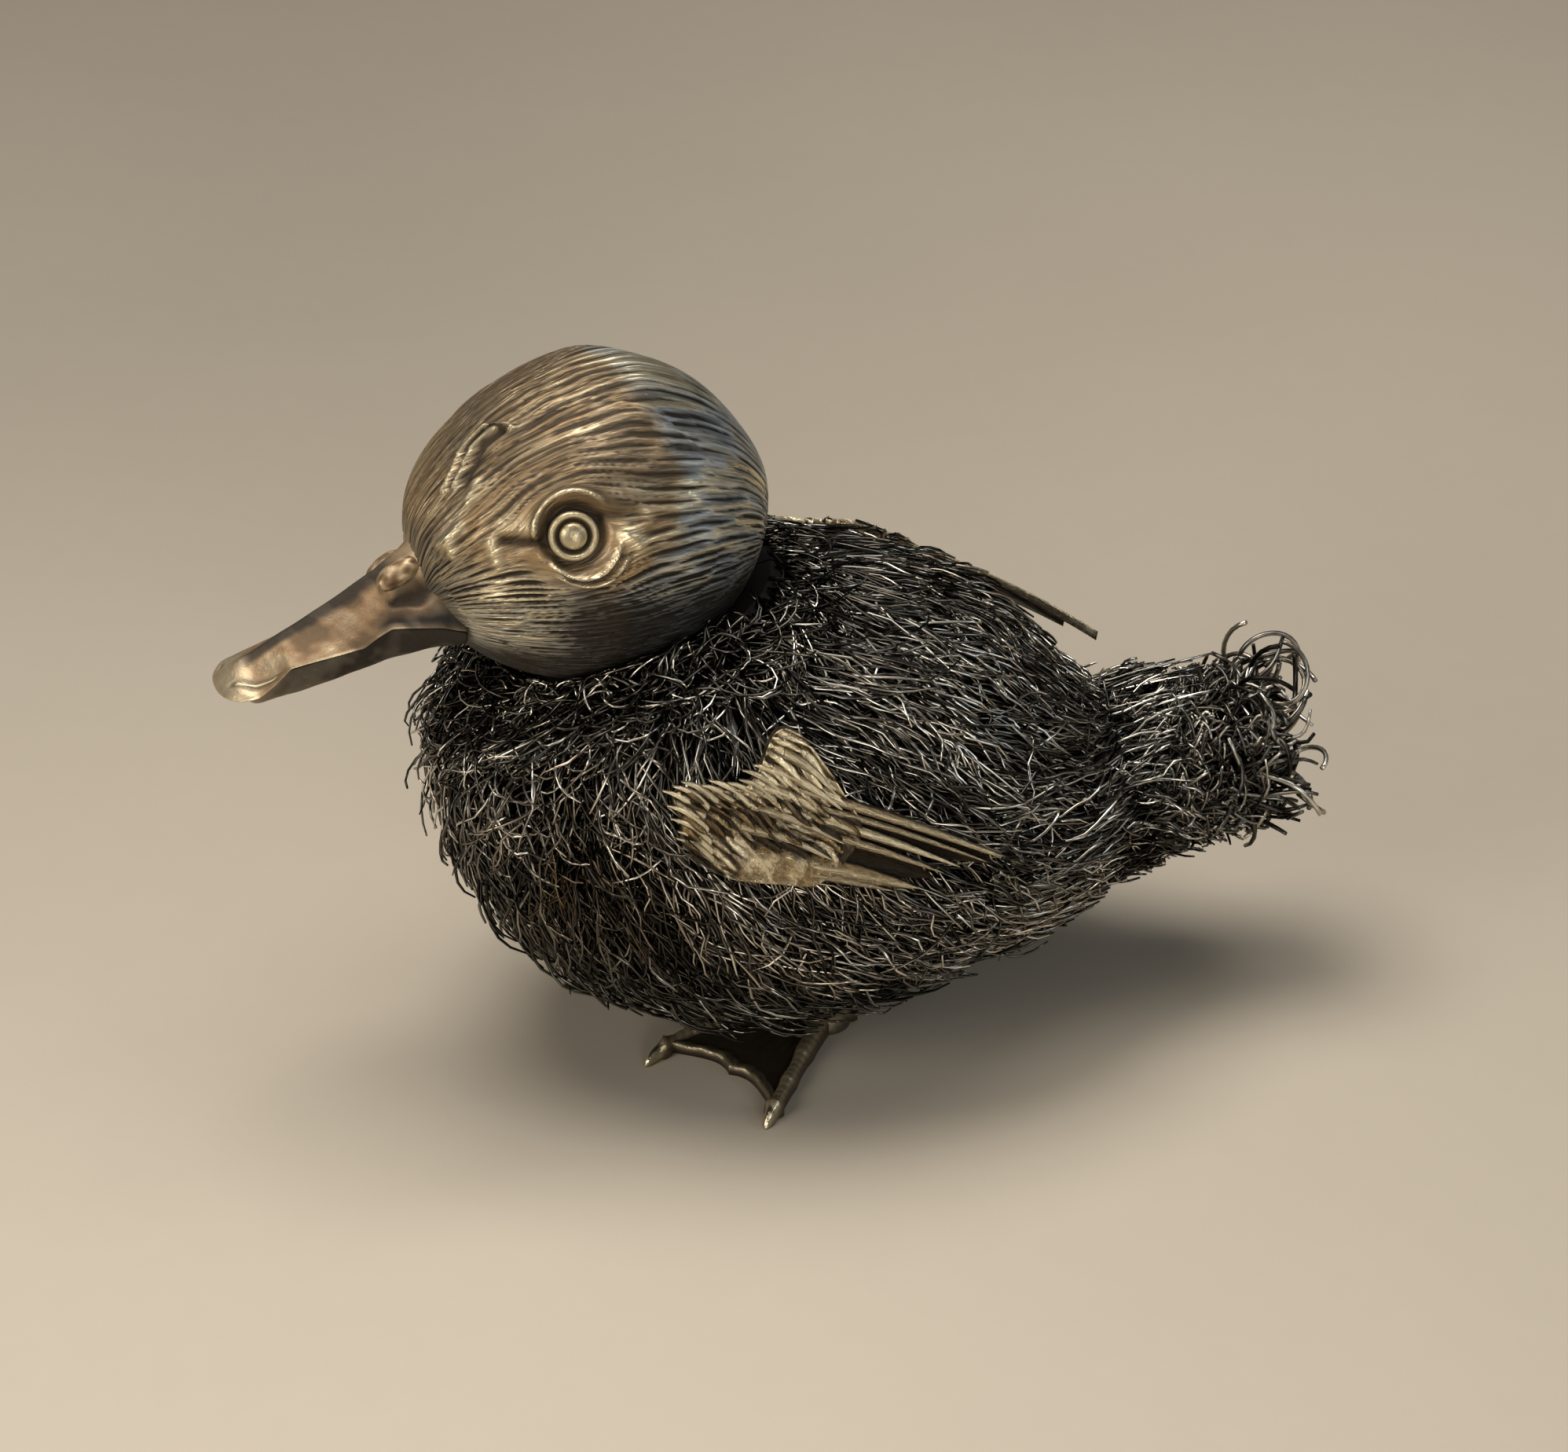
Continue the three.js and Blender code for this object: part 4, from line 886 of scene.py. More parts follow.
class DUCKLING_OT_fur(bpy.types.Operator):
    """Lays the rows of wire fur over the body shell, from the breast to the rump"""

    bl_idname = "duckling.fur"
    bl_label = "Wire fur"

    def execute(self, context):
        material = wire_finish("fur_wire", context.scene.duckling_look)
        for row in range(FUR_ROWS):
            piece = Piece(f"wire_row_{row + 1:02d}")
            self.row(piece, row, context.scene.duckling_wires)
            piece.make(material, [f"fur_row_{row + 1:02d}"])
        return {"FINISHED"}

    @staticmethod
    def zones(t, angle):
        """How far a place on the body belongs to each zone of the coat: products of smooth steps."""
        down = -np.sin(angle)
        back = ease(-down, 0.3, 0.9)
        return SimpleNamespace(
            breast=ease(t, 0.36, 0.1) * ease(down, -0.2, 0.7),
            belly=ease(down, 0.35, 0.9) * ease(t, 0.25, 0.5) * ease(t, 0.9, 0.68),
            back=back,
            under=ease(down, -0.1, 0.6),
            rump=ease(t, 0.8, 0.95),
            crest=hump(angle - np.pi / 2 - 0.25, 0.35) * ease(t, 0.12, 0.2) * ease(t, 0.55, 0.4),
            golden=hump(t - 0.27, 0.12) * hump(np.degrees(angle) + 32, 22),
            flat=1 - 0.55 * np.maximum(back * ease(t, 0.04, 0.2), ease(t, 0.75, 0.95)),
        )

    @staticmethod
    def over_wings(rng, root):
        """Which wires lie over a wing: some behind the left wing, and a few near the right wing's seat."""
        left, right = (WING_FRAMES[side] for side in SIDES)
        behind = (root - left["origin"]) @ left["back"] > 0.66 * WING_LENGTH
        over = behind & (rng.random(len(root)) < 0.4) & (root[:, 0] > 0)
        near = np.linalg.norm(root - right["origin"], axis=-1) < 9
        return over | (near & (rng.random(len(root)) < 0.06))

    def row(self, piece, row, wires):
        """One row: short and curled on the breast, combed back and down the flanks, loose on the rump."""
        rng = np.random.default_rng(wires.seed + row)
        low = RUFF_ROOT + row * ROW_PITCH
        high = low + ROW_PITCH if row < FUR_ROWS - 1 else FUR_END
        t0, angle0 = scatter(rng, low, high, wires.density)
        count = len(t0)
        zone = self.zones(t0, angle0)
        root = coat(t0, angle0, np.zeros(count))
        drift = ripple(root, 11, rng)
        stray = rng.random(count) < 0.06 + 0.1 * zone.breast
        outer = rng.random(count) < 0.42
        # Length, then the way along the coat, where a wire bends and how far it stands off.
        run = wires.run / MM * rng.uniform(0.6, 1.1, count) * (1 - 0.48 * zone.breast - 0.1 * zone.back)
        run = run * (0.9 + 0.3 * outer) * (1 - 0.4 * ease(t0, 0.8, 0.97))
        fall = 0.36 * ease(np.sin(angle0), 0.95, 0.2) * fuller(np.cos(angle0), 0.6)
        heading = 0.26 * drift - fall + rng.normal(0, 0.16, count) * (1 + 3.2 * zone.breast)
        heading = heading + (stray + 0.6 * zone.rump) * rng.normal(0, 0.7, count)
        bend = rng.normal(0, 0.26, count) * (1 + 4.2 * zone.breast + 2 * stray)
        tuft = 0.5 + 0.5 * ripple(root, 5, rng)
        lift0 = rng.uniform(0.1, 1.2, count) + 0.7 * outer * zone.flat
        rise = rng.uniform(0.3, 1.9, count) * (0.6 + 0.7 * tuft) * (0.8 + 0.6 * outer) * zone.flat
        lift1 = lift0 + rise + 1.9 * zone.belly * rng.random(count) + 0.8 * stray * zone.flat
        arch = rng.uniform(0.6, 1.35, count)
        lift1 = lift1 + (1.5 * zone.crest + 1.3 * zone.rump) * rng.random(count)
        kink, phase = 0.55 * rng.random((count, 1)), rng.uniform(0, 2 * np.pi, (count, 1))
        paths, lean, s = coat_wires(t0, angle0, run, heading, bend, lift0, lift1, arch,
                                    wires.steps, kink, phase)
        paths = clear_of_wings(paths, self.over_wings(rng, root)[:, None])
        paths = clear_of_head(paths, HEAD_MARGIN)
        radius = wires.radius / MM * rng.uniform(0.85, 1.15, count)[:, None] * (1 - 0.35 * s**3)
        # Half of the outer wires are bright; inner wires and wires underneath are painted dark as shade, and
        # those on the rump are dimmer.
        worn = np.where(outer, np.where(rng.random(count) < 0.5, 2.6, 0.55), 0.1)
        worn = worn * (1 - 0.82 * zone.under * (1 - 0.5 * zone.breast)) * (1 - 0.35 * zone.rump)
        warm = 0.15 + 0.45 * zone.golden + 0.4 * zone.crest
        piece.add(tubes(paths, lean, radius, WIRE_SIDES), **wire_marks(rng, paths, s, warm, worn))


class DUCKLING_OT_ruff(bpy.types.Operator):
    """Sets the curly wires that stand up round the neck"""

    bl_idname = "duckling.ruff"
    bl_label = "Neck ruff"

    def execute(self, context):
        wires = context.scene.duckling_wires
        rng = np.random.default_rng(wires.seed + RUFF_SEED)
        t0, angle0 = scatter(rng, *RUFF_SPAN, RUFF_DENSITY * wires.density)
        count = len(t0)
        nape = ease(np.sin(angle0), 0.1, 0.9)
        throat = 1 - nape
        run = rng.uniform(3.2, 6.4, count)
        heading = rng.normal(0, 0.5 + 1.1 * throat, count)
        heading = heading + np.where(rng.random(count) < 0.5, np.pi, 0) * throat
        bend = rng.normal(0, 0.7 + 1.7 * throat, count)
        lift0 = rng.uniform(0.2, 2.6, count) * (1 - 0.45 * nape)
        lift1 = lift0 + rng.uniform(0.4, 2.4, count) * (1 - 0.3 * nape) + 1.4 * throat * rng.random(count)
        arch = rng.uniform(0.8, 1.6, count)
        paths, lean, s = coat_wires(t0, angle0, run, heading, bend, lift0, lift1, arch, RUFF_STEPS)
        paths = clear_of_head(paths, rng.uniform(0.3, 0.8, (count, 1, 1)))
        radius = wires.radius / MM * rng.uniform(0.85, 1.1, count)[:, None] * (1 - 0.3 * s**3)
        shade = np.where(rng.random(count) < 0.3, 2.0, 0.16)
        piece = Piece("wire_ruff")
        piece.add(tubes(paths, lean, radius, WIRE_SIDES), **wire_marks(rng, paths, s, 0.2, shade))
        piece.make(wire_finish("ruff_wire", context.scene.duckling_look), ["neck_ruff"])
        return {"FINISHED"}


class DUCKLING_OT_tail(bpy.types.Operator):
    """Makes the tail of thicker, loosely curled wires, and the loops at its end"""

    bl_idname = "duckling.tail"
    bl_label = "Wire tail"

    def execute(self, context):
        wires = context.scene.duckling_wires
        material = wire_finish("tail_wire", context.scene.duckling_look, gloss=0.3)
        thick = wires.tail_radius / MM
        for row, wire_set in enumerate(TAIL_SETS):
            rng = np.random.default_rng(wires.seed + TAIL_SEED + row)
            tuft = row == TAIL_ROWS
            piece = Piece("wire_tail_tuft" if tuft else f"wire_tail_{row + 1}")
            self.row(piece, rng, row, thick, tuft, *wire_set)
            for loop_set in LOOP_SETS if tuft else ():
                self.loops(piece, rng, 0.9 * thick, *loop_set)
            piece.make(material, ["tail_tuft" if tuft else f"tail_row_{row + 1}"])
        return {"FINISHED"}

    @staticmethod
    def row(piece, rng, row, thick, tuft, count, loose, gauge):
        """Wires that leave the core aslant, curl round the axis and wave, and stay inside the tail's end."""
        pitch = TAIL_CORE_LENGTH / TAIL_LENGTH / (TAIL_ROWS + 1)
        depth = (TUFT_RADIUS if tuft else TAIL_RADIUS) - TAIL_CORE_RADIUS
        run = rng.uniform(4.0, 8.0, count) if tuft else rng.uniform(2.8, 5.6, count)
        slant = rng.uniform(0.15, 0.95, count)
        q0 = rng.uniform(row * pitch - 0.1, (row + 1) * pitch + 0.06, count)
        q0 = np.minimum(q0, rng.uniform(0.88, 1.02, count) - run * np.cos(slant) / TAIL_LENGTH)
        angle0 = rng.uniform(-np.pi, np.pi, count)
        lift0 = rng.uniform(-2.6, 2.6, count) if tuft else rng.uniform(0.2, 0.8 * depth, count)
        lift1 = np.minimum(lift0 + run * np.sin(slant), depth + rng.uniform(-0.3, 0.9, count))
        bend = rng.normal(0, 1.4 * loose, count) * np.where(rng.random(count) < 0.3, 1.8, 1)
        heading = rng.normal(0, 0.55 * loose, count)
        s, forward, aside = walk(run * np.cos(slant), heading, bend, TAIL_STEPS)
        swing = s * rng.uniform(0.5, 1.2, (count, 1)) + rng.random((count, 1))
        wave = 0.4 * loose * np.sin(2 * np.pi * swing) * s
        lift = lift0[:, None] + (lift1 - lift0)[:, None] * s**0.75 + wave
        around = np.maximum(TAIL_CORE_RADIUS + lift0, 2.5)[:, None]
        angle = angle0[:, None] + (aside + wave) / around
        paths = tail_point(q0[:, None] + forward / TAIL_LENGTH, angle, lift)
        lean = unit(tail_point(q0, angle0, lift0 + 9) - tail_point(q0, angle0, lift0 + 8))
        radius = thick * gauge * rng.uniform(0.8, 1.1, count)[:, None] * (1 - 0.25 * s**4)
        shade = np.where(rng.random(count) < 0.42, 1.05, 0.2)
        piece.add(tubes(paths, lean, radius, TAIL_SIDES), **wire_marks(rng, paths, s, 0.2, shade))

    @staticmethod
    def loops(piece, rng, thick, count, along, lift, size, angles):
        """Open loops at the tail's end: arcs of slowly growing circles in tilted planes."""
        centre = tail_point(*(rng.uniform(*span, count) for span in (along, angles, lift)))
        one = unit(rng.normal(size=(count, 3)))
        two = unit(np.cross(one, rng.normal(size=(count, 3))))
        s = np.linspace(0, 1, LOOP_STEPS)
        turn = (rng.uniform(0, 6, (count, 1)) + s * rng.uniform(2.0, 4.6, (count, 1)))[..., None]
        swell = rng.uniform(*size, (count, 1, 1)) * (1 + 0.25 * s[:, None])
        paths = centre[:, None] + swell * (np.cos(turn) * one[:, None] + np.sin(turn) * two[:, None])
        radius = np.full((count, LOOP_STEPS), thick)
        marks = wire_marks(rng, paths, s, 0.3, 1.0)
        piece.add(tubes(paths, np.cross(one, two), radius, LOOP_SIDES), **marks)


def cuts(lane, along, seed, wide):
    """Tapered cuts end to end in numbered lanes, 1 deep in the middle to 0 at the edges; a tone for each."""
    number = np.floor(lane)
    s = along * (0.7 + 0.6 * chance(number, 0, seed)) + 17 * chance(number, 1, seed)
    stroke = np.floor(s)
    y = s - stroke
    x = lane - number - 0.5 - 0.4 * (chance(number, stroke, seed + 4) - 0.5)
    half = wide * (0.4 + 0.9 * chance(number, stroke, seed + 1)) * (1 - np.abs(2 * y - 1) ** 2.2)
    return held(1 - np.abs(x) / np.maximum(half, 0.02)) ** 0.8, chance(number, stroke, seed + 2)


def chased(lane, along, seed):
    """Ridges end to end in numbered lanes, 1 on top to 0; tone, share along and sideways tilt of each."""
    number = np.floor(lane)
    x = lane - number - 0.5
    s = along * (0.75 + 0.5 * chance(number, 0, seed)) + 17 * chance(number, 1, seed)
    stroke = np.floor(s)
    y = s - stroke
    wide = 0.14 + 0.36 * (1 - np.abs(2 * y - 1) ** 3)
    tall = 0.5 + 0.5 * chance(number, stroke, seed + 1)
    tilt = 2 * x * (2 * chance(number, stroke, seed + 3) - 1)
    return held(1 - np.abs(x / wide) ** 2.6) * tall, chance(number, stroke, seed + 2), y, tilt


def bar(x, y, start, end, width):
    """Soft bar between two points: a bell curve of the distance from the line between them."""
    (x0, y0), (x1, y1) = start, end
    dx, dy = x1 - x0, y1 - y0
    share = held(((x - x0) * dx + (y - y0) * dy) / (dx * dx + dy * dy))
    gap = np.hypot(x - x0 - share * dx, y - y0 - share * dy)
    return hump(gap, width)


def seam(points, start, end, width):
    """Soft bar in space: a bell curve of the distance from the line between two places."""
    start, run = np.array(start), np.array(end) - np.array(start)
    share = held((points - start) @ run / (run @ run))
    return hump(np.linalg.norm(points - start - share[..., None] * run, axis=-1), width)


def strand(points, line, width):
    """Soft line in space through several places: the strongest of the bars between them."""
    return np.max([seam(points, a, b, width) for a, b in zip(line, line[1:])], axis=0)


def crescent(r, angle, start, end, inner, outer, width):
    """Soft ridge on part of a ring: its radius goes from inner to outer between two angles in degrees."""
    share = held((angle - start) / (end - start))
    taper = ease(np.sin(np.pi * share), 0, 0.55)
    radius = inner + (outer - inner) * ease(share, 0, 0.7)
    return hump(r - radius, width) * taper


def eye_frame(side):
    """Place of an eye and its outward, forward and upward directions, in the head's own frame."""
    level = 1 - (EYE_FORWARD / HEAD_HALF[1]) ** 2 - (EYE_RISE / HEAD_HALF[2]) ** 2
    place = np.array([MIRROR[side] * HEAD_HALF[0] * math.sqrt(level), -EYE_FORWARD, EYE_RISE])
    out = unit(place / HEAD_HALF**2)
    ahead = np.array([0, -1.0, 0])
    ahead = unit(ahead - out * (ahead @ out))
    return place, out, ahead, -MIRROR[side] * np.cross(out, ahead)


def eye_relief(local):
    """Relief round both eyes: recess, lids, tear duct and corner; their bare and dark parts, how far lanes
    part round them, and where strokes may lie. The right eye is flatter."""
    rise = np.zeros(local.shape[:-1])
    bare, dark, shift, clear = rise.copy(), rise.copy(), rise.copy(), rise + 1
    for side in SIDES:
        place, out, ahead, up = eye_frame(side)
        rel = local - place
        x, y = rel @ ahead, rel @ up
        here = (rel @ out > -5).astype(float)
        r = np.hypot(x, y)
        angle = np.degrees(np.arctan2(y, x))
        under = -np.where(angle > 30, angle - 360, angle)
        hollow = ease(r, RECESS_RADIUS + 0.3, RECESS_RADIUS - 0.7)
        upper = crescent(r, angle, -14, 150, 3.0, 3.6, 0.2)
        brim = crescent(r, angle, -10, 150, 3.3, 3.95, 0.16)
        lower = crescent(r, under, 30, 172, 2.7, 3.7, 0.2)
        fold = crescent(r, under, 55, 160, 3.4, 4.6, 0.2)
        gutter = crescent(r, under, 50, 165, 3.05, 4.15, 0.17)
        duct = bar(x, y, (2.4, -0.25), (5.6, 0.15), 0.5)
        brow = bar(x, y, (3.4, 1.25), (5.6, 1.2), 0.75)
        tear = bar(x, y, (6.5, 0.3), (6.2, -1.7), 0.45)
        corner = bar(x, y, (-2.5, 1.2), (-5.2, 0.9), 0.55)
        patch = bar(x, y, (-4.2, -0.5), (-5.0, -1.4), 0.8)
        smooth = bar(x, y, (3, 0.4), (6.3, -0.4), 1.3)
        relief = here * (1 if side == "left" else 0.25)
        rise += relief * (0.6 * upper + 0.65 * lower + 0.35 * fold + 0.12 * brow + 0.2 * tear + 0.25 * patch)
        rise -= relief * (0.8 * hollow + 0.5 * duct * (1 - hollow) + 0.3 * gutter + 0.45 * corner)
        bare += here * (upper + 1.1 * lower + 0.7 * fold + 0.35 * brow + 0.9 * tear + 0.8 * patch)
        dark += here * (0.6 * hollow + 0.4 * ease(r, 2.5, 2.1) + 0.9 * duct)
        dark += here * (0.8 * gutter + 0.5 * corner + 0.6 * brim)
        clear *= 1 - here * held(np.max([ease(r, 4.9, 3.9), smooth, patch], axis=0))
        around = 3.2**2 / (r**2 + 9) * hump(r, 12)
        shift -= here * y * around * MIRROR[side]
    return rise, held(bare), held(dark), shift, clear


class DUCKLING_OT_head(bpy.types.Operator):
    """Chases the head: strokes run from the bill over the crown and round the eyes to the nape"""

    bl_idname = "duckling.head"
    bl_label = "Chased head"

    def execute(self, context):
        chasing, look = context.scene.duckling_chasing, context.scene.duckling_look
        piece = Piece("chased_head")
        self.chase(piece, chasing, np.random.default_rng(HEAD_SEED))
        material = chased_finish("chased_silver", look, look.bronze, look.slate, 0.42, 0.7, combed=True)
        piece.make(material, ["head_shell"])
        return {"FINISHED"}

    @staticmethod
    def skin():
        """Points of the ellipsoid by angles from and round a front pole, with rings closer near the eyes."""
        even = np.linspace(POLE_HOLE, math.pi - POLE_HOLE, 600)
        close = np.cumsum(1 + 1.4 * hump(even - 1.2, 0.42))
        rings = np.interp(np.linspace(close[0], close[-1], HEAD_RINGS), close, even)
        polar, angle = grid(rings, np.linspace(-np.pi / 2, 1.5 * np.pi, HEAD_SIDES, endpoint=False))
        up = np.sin(polar) * np.sin(angle) - POLE_SINK
        way = unit(np.stack([np.sin(polar) * np.cos(angle), -np.cos(polar), up], -1))
        return polar, angle, way / np.linalg.norm(way / HEAD_HALF, axis=-1, keepdims=True)

    def chase(self, piece, chasing, rng):
        """Cuts in lanes from pole to pole that part round the eyes, with forelock, brow marks and slopes."""
        polar, angle, local = self.skin()
        x, y, z = (local[..., k] for k in range(3))
        rise, bare, dark, shift, clear = eye_relief(local)
        girth = np.maximum(STROKE_RADIUS * np.sin(polar), 1.5)
        wander = 0.35 * ripple(local, 16, rng) + 0.07 * ripple(local, 5, rng)
        lane = (angle + shift / girth) / (2 * np.pi) * chasing.lanes + wander
        along = polar * STROKE_RUN / (chasing.dash / MM) + 0.15 * ripple(local, 8, rng)
        coarse, tone = cuts(lane, along, 3, 0.32)
        fine, pale_tone = cuts(1.9 * lane + 0.3 * ripple(local, 7, rng), 1.2 * along, 5, 0.28)
        fore = sum(strand(local, line, FORELOCK_WIDTH) for line in FORELOCK)
        # Of the dark forelock lines, the one beside the strands is a shallow dip painted dark as their
        # shadow.
        cut_and_shadow = sum(strand(local, line, wide) for line, wide in FORELOCK_CUT_AND_SHADOW)
        pale = sum(share * seam(local, start, end, wide) for start, end, wide, share in BROW_MARKS)
        beak = bar(np.abs(x), z, (0, -4.4), (5.6, -5.4), 2.6) * ease(y, -9.5, -11.8)
        clear = clear * (1 - held(1.15 * beak)) * (1 - np.clip(fore + cut_and_shadow + pale, 0, 0.9))
        # Zones: the cold back of the head, partly a painted reflection of cool light, the dark underside,
        # the crown with its painted shade, the front cheek with its painted light, and the rusty patch.
        back = ease(y + 4.5 * ease(z, 3.0, -1.5) + 1.1 * ripple(local, 7, rng), 1.4, 4.4)
        low = ease(z + 0.15 * y, 2.2, -4.5)
        crown = ease(z, 3.0, 10.0)
        cheek = ease(y, -4.0, -8.0) * ease(z, 3.0, -1.0) * ease(z, -8.5, -5.0)
        rust = seam(local, *RUST_PATCH)
        # Relief.
        bold = clear * (0.62 + 0.3 * ease(z, 4.0, -2.0))
        depth = chasing.depth / MM * np.sin(polar) ** 0.7
        rise = rise - depth * bold * (coarse + 0.4 * fine) + 0.4 * fore - 0.35 * cut_and_shadow + 0.35 * pale
        rise = rise + 0.08 * ripple(local, 12, rng)
        for drop, degrees, start, full in HEAD_SLOPES:
            toward = np.array([0, -math.cos(math.radians(degrees)), math.sin(math.radians(degrees))])
            rise = rise - drop * ease(unit(local) @ toward, start, full)
        points = local + unit(local / HEAD_HALF**2) * rise[..., None]
        # Patina and colour: painted shade darkens the crown, and the underside is darker.
        warm = held((1 - back) * (1 - 0.7 * low) + 0.08 + rust)
        darkening = 0.4 * crown * (1 - 0.7 * back) + 0.88 * low * (1 - 0.85 * cheek) + 0.25 * rust
        groove = bold * (1.5 * coarse + 0.9 * fine) + dark + 0.9 * cut_and_shadow + darkening * (1 - bare)
        # Painted glints on the back and the cheek, painted specks of glint, and painted light on the front
        # cheek go into the bright mark.
        glint = held(0.6 - tone) * (1 - coarse) * clear * (0.3 + 0.9 * np.maximum(back * (1 - low), cheek))
        speck_glint = 0.3 * (pale_tone > 0.7) * (1 - fine) * clear * (1 - low)
        shine = 0.8 * bare + fore + 0.9 * pale + glint + 0.3 * cheek + speck_glint
        piece.add(on_head(points), groove=held(groove), warm=warm, bare=held(shine), lane=lane, run=along)


class DUCKLING_OT_eyes(bpy.types.Operator):
    """Turns the two eye studs, each a dome inside a ring"""

    bl_idname = "duckling.eyes"
    bl_label = "Eyes"

    def execute(self, context):
        look = context.scene.duckling_look
        material = chased_finish("eye_silver", look, look.eye_warm, look.eye_cold, 0.35, 0.7)
        for side in SIDES:
            piece = Piece(f"{side}_eye_stud")
            self.stud(piece, side)
            piece.make(material, [f"{side}_eye"])
        return {"FINISHED"}

    @staticmethod
    def stud(piece, side, steps=60, sides=64):
        """A profile turned about the eye's axis: half ellipses for dome and ring, then rim and stem."""
        radius = 0.02 + EYE_RADIUS * np.linspace(0, 1, steps)
        dome = DOME_RISE * np.sqrt(held(1 - (radius / DOME_RADIUS) ** 2))
        ring = RING_RISE * np.sqrt(held(1 - ((radius - RING_RADIUS) / RING_HALF) ** 2))
        profile = np.concatenate([np.stack([radius, dome + ring - STUD_SINK], -1), STUD_STEM])
        shade = np.concatenate([1 - held((dome > 0.05) + (ring > 0.05)), np.ones(len(STUD_STEM))])
        place, out, ahead, up = eye_frame(side)
        turn = turns(sides)[:, None]
        circle = np.cos(turn) * ahead + np.sin(turn) * up
        rings = place + profile[:, :1, None] * circle + profile[:, 1:, None] * out
        piece.add(on_head(rings), groove=shade[None, :, None], warm=0.55, bare=0.3)


def bill_profile(values, s):
    """A bill measure at share s of its length, through its listed stations."""
    run = np.interp(s, BILL_STEPS, np.linspace(0, 1, len(BILL_STEPS)))
    return knots([(v,) for v in values], run)[..., 0]


class DUCKLING_OT_bill(bpy.types.Operator):
    """Makes the upper and the lower bill, with nostrils, ridge, nail and mouth line"""

    bl_idname = "duckling.bill"
    bl_label = "Bill"

    def execute(self, context):
        look = context.scene.duckling_look
        material = chased_finish("bill_silver", look, look.bill_warm, look.bill_cold, 0.5, 0.5)
        for half in ("upper", "lower"):
            rng = np.random.default_rng(BILL_SEED)
            piece = Piece(f"bill_{half}")
            self.half(piece, half == "upper", rng)
            for mirror in MIRROR.values() if half == "upper" else ():
                self.nostril(piece, mirror, rng)
            piece.make(material, [f"{half}_bill"])
        return {"FINISHED"}

    def half(self, piece, upper, rng, steps=120, sides=112):
        """Roof-like half ellipses over or under a mouth line with a step, on a drooping path."""
        s, theta = grid(1 - (1 - np.linspace(0, 1, steps)) ** 1.6, turns(sides))
        end = 1.0 if upper else LOWER_REACH
        tip = np.sqrt(np.clip(1 - np.maximum((s - BILL_TIP) / (1 - BILL_TIP), 0) ** 2, 0.001, 1))
        inset = 0 if upper else LOWER_INSET
        wide = bill_profile(BILL_WIDE, np.minimum(s, BILL_TIP)) / 2 * tip - inset * tip
        high = bill_profile(BILL_HIGH if upper else BILL_DEEP, s) * np.maximum(tip, 0.3) ** 0.5
        arc = np.sin(theta)
        roof = 0.9 * ease(s, 1.0, 0.86) if upper else 0.0
        top = (1 - roof) * np.maximum(arc, 0) ** 0.9 + roof * (1 - np.abs(np.cos(theta))) * (arc > 0)
        lip = np.interp(s * end, LIP_STEPS, LIP_RISE) * tip * (0.1 + 0.9 * ease(np.cos(theta), -0.5, 0.3))
        x = wide * np.cos(theta)
        if upper:
            z = lip + (high * tip**0.5 - lip) * top
            rise, groove, bare, warm = self.relief(s, theta, x / wide, arc)
        else:
            z = lip - FIT_GAP - (lip - FIT_GAP + high) * top
            rise, groove, bare, warm = self.chin(s)
        droop = BILL_BELOW + BILL_DROP * (s * end) ** BILL_DROOP
        local = np.stack([x, -BILL_START - s * end * BILL_LENGTH, z - droop], -1)
        away = (1 if upper else -1) * np.maximum(arc, 0)
        out = unit(np.stack([np.cos(theta), np.zeros_like(s), away], -1))
        blotch = ripple(local, 3.8, rng) + 0.35 * ripple(local, 1.4, rng)
        rise = rise + np.where(arc > 0, 0.05 * ripple(local, 4, rng), 0)
        groove = held(groove + 0.1 + 0.5 * ease(blotch, -0.2, 0.8) * ease(s, 0.85, 0.6))
        warm, bare = held(warm + 0.15 * blotch), held(bare - 0.12 * blotch)
        piece.add(on_head(local + out * rise[..., None]), groove=groove, warm=warm, bare=bare)

    @staticmethod
    def nostril(piece, mirror, rng, steps=32, sides=40):
        """A pitted mound beside the ridge at the bill's root: an ellipsoid, longest along the bill."""
        polar, turn = grid(np.linspace(0.05, math.pi - 0.05, steps), turns(sides))
        ball = np.stack([np.sin(polar) * np.cos(turn), -np.cos(polar), np.sin(polar) * np.sin(turn)], -1)
        pits = 0.6 * ripple(ball, 0.8, rng) + 0.6 * ripple(ball, 0.35, rng)
        beside, ahead, up = NOSTRIL_PLACE
        place = (beside * mirror, ahead, up + NOSTRIL_LIFT * mirror)
        local = ball * (1 + 0.05 * pits)[..., None] * NOSTRIL_HALF @ spin(0, NOSTRIL_TILT).T + place
        # The underside of the mound is painted dark as its shadow.
        groove = held(0.15 - 0.45 * pits + 0.8 * ease(ball[..., 2], -0.1, -0.6))
        piece.add(on_head(local), groove=groove, warm=1.0, bare=np.clip(0.1 + 0.4 * pits, 0, 0.4))

    @staticmethod
    def relief(s, theta, side, arc):
        """Upper bill: dark ridge strip, nostril mounds and holes painted dark as the mounds' shadow, base
        plates, lip, a lens that is a painted glint, and nail.
        """
        along, fold = s * BILL_LENGTH, np.minimum(theta, np.pi - theta)
        over = arc > 0

        def mark(start, end, width):
            """Soft bar on the upper face between two places, each a distance along and an angle up."""
            (a0, f0), (a1, f1) = start, end
            return bar(along, fold * FOLD_MM, (a0, f0 * FOLD_MM), (a1, f1 * FOLD_MM), width) * over

        strip = ease(np.abs(side), 0.28, 0.14) * ease(arc, 0.2, 0.6)
        strip = strip * ease(s, 0.16, 0.28) * ease(s, 0.97, 0.85)
        mound = mark((2.1, 1.33), (4.4, 1.14), 0.9)
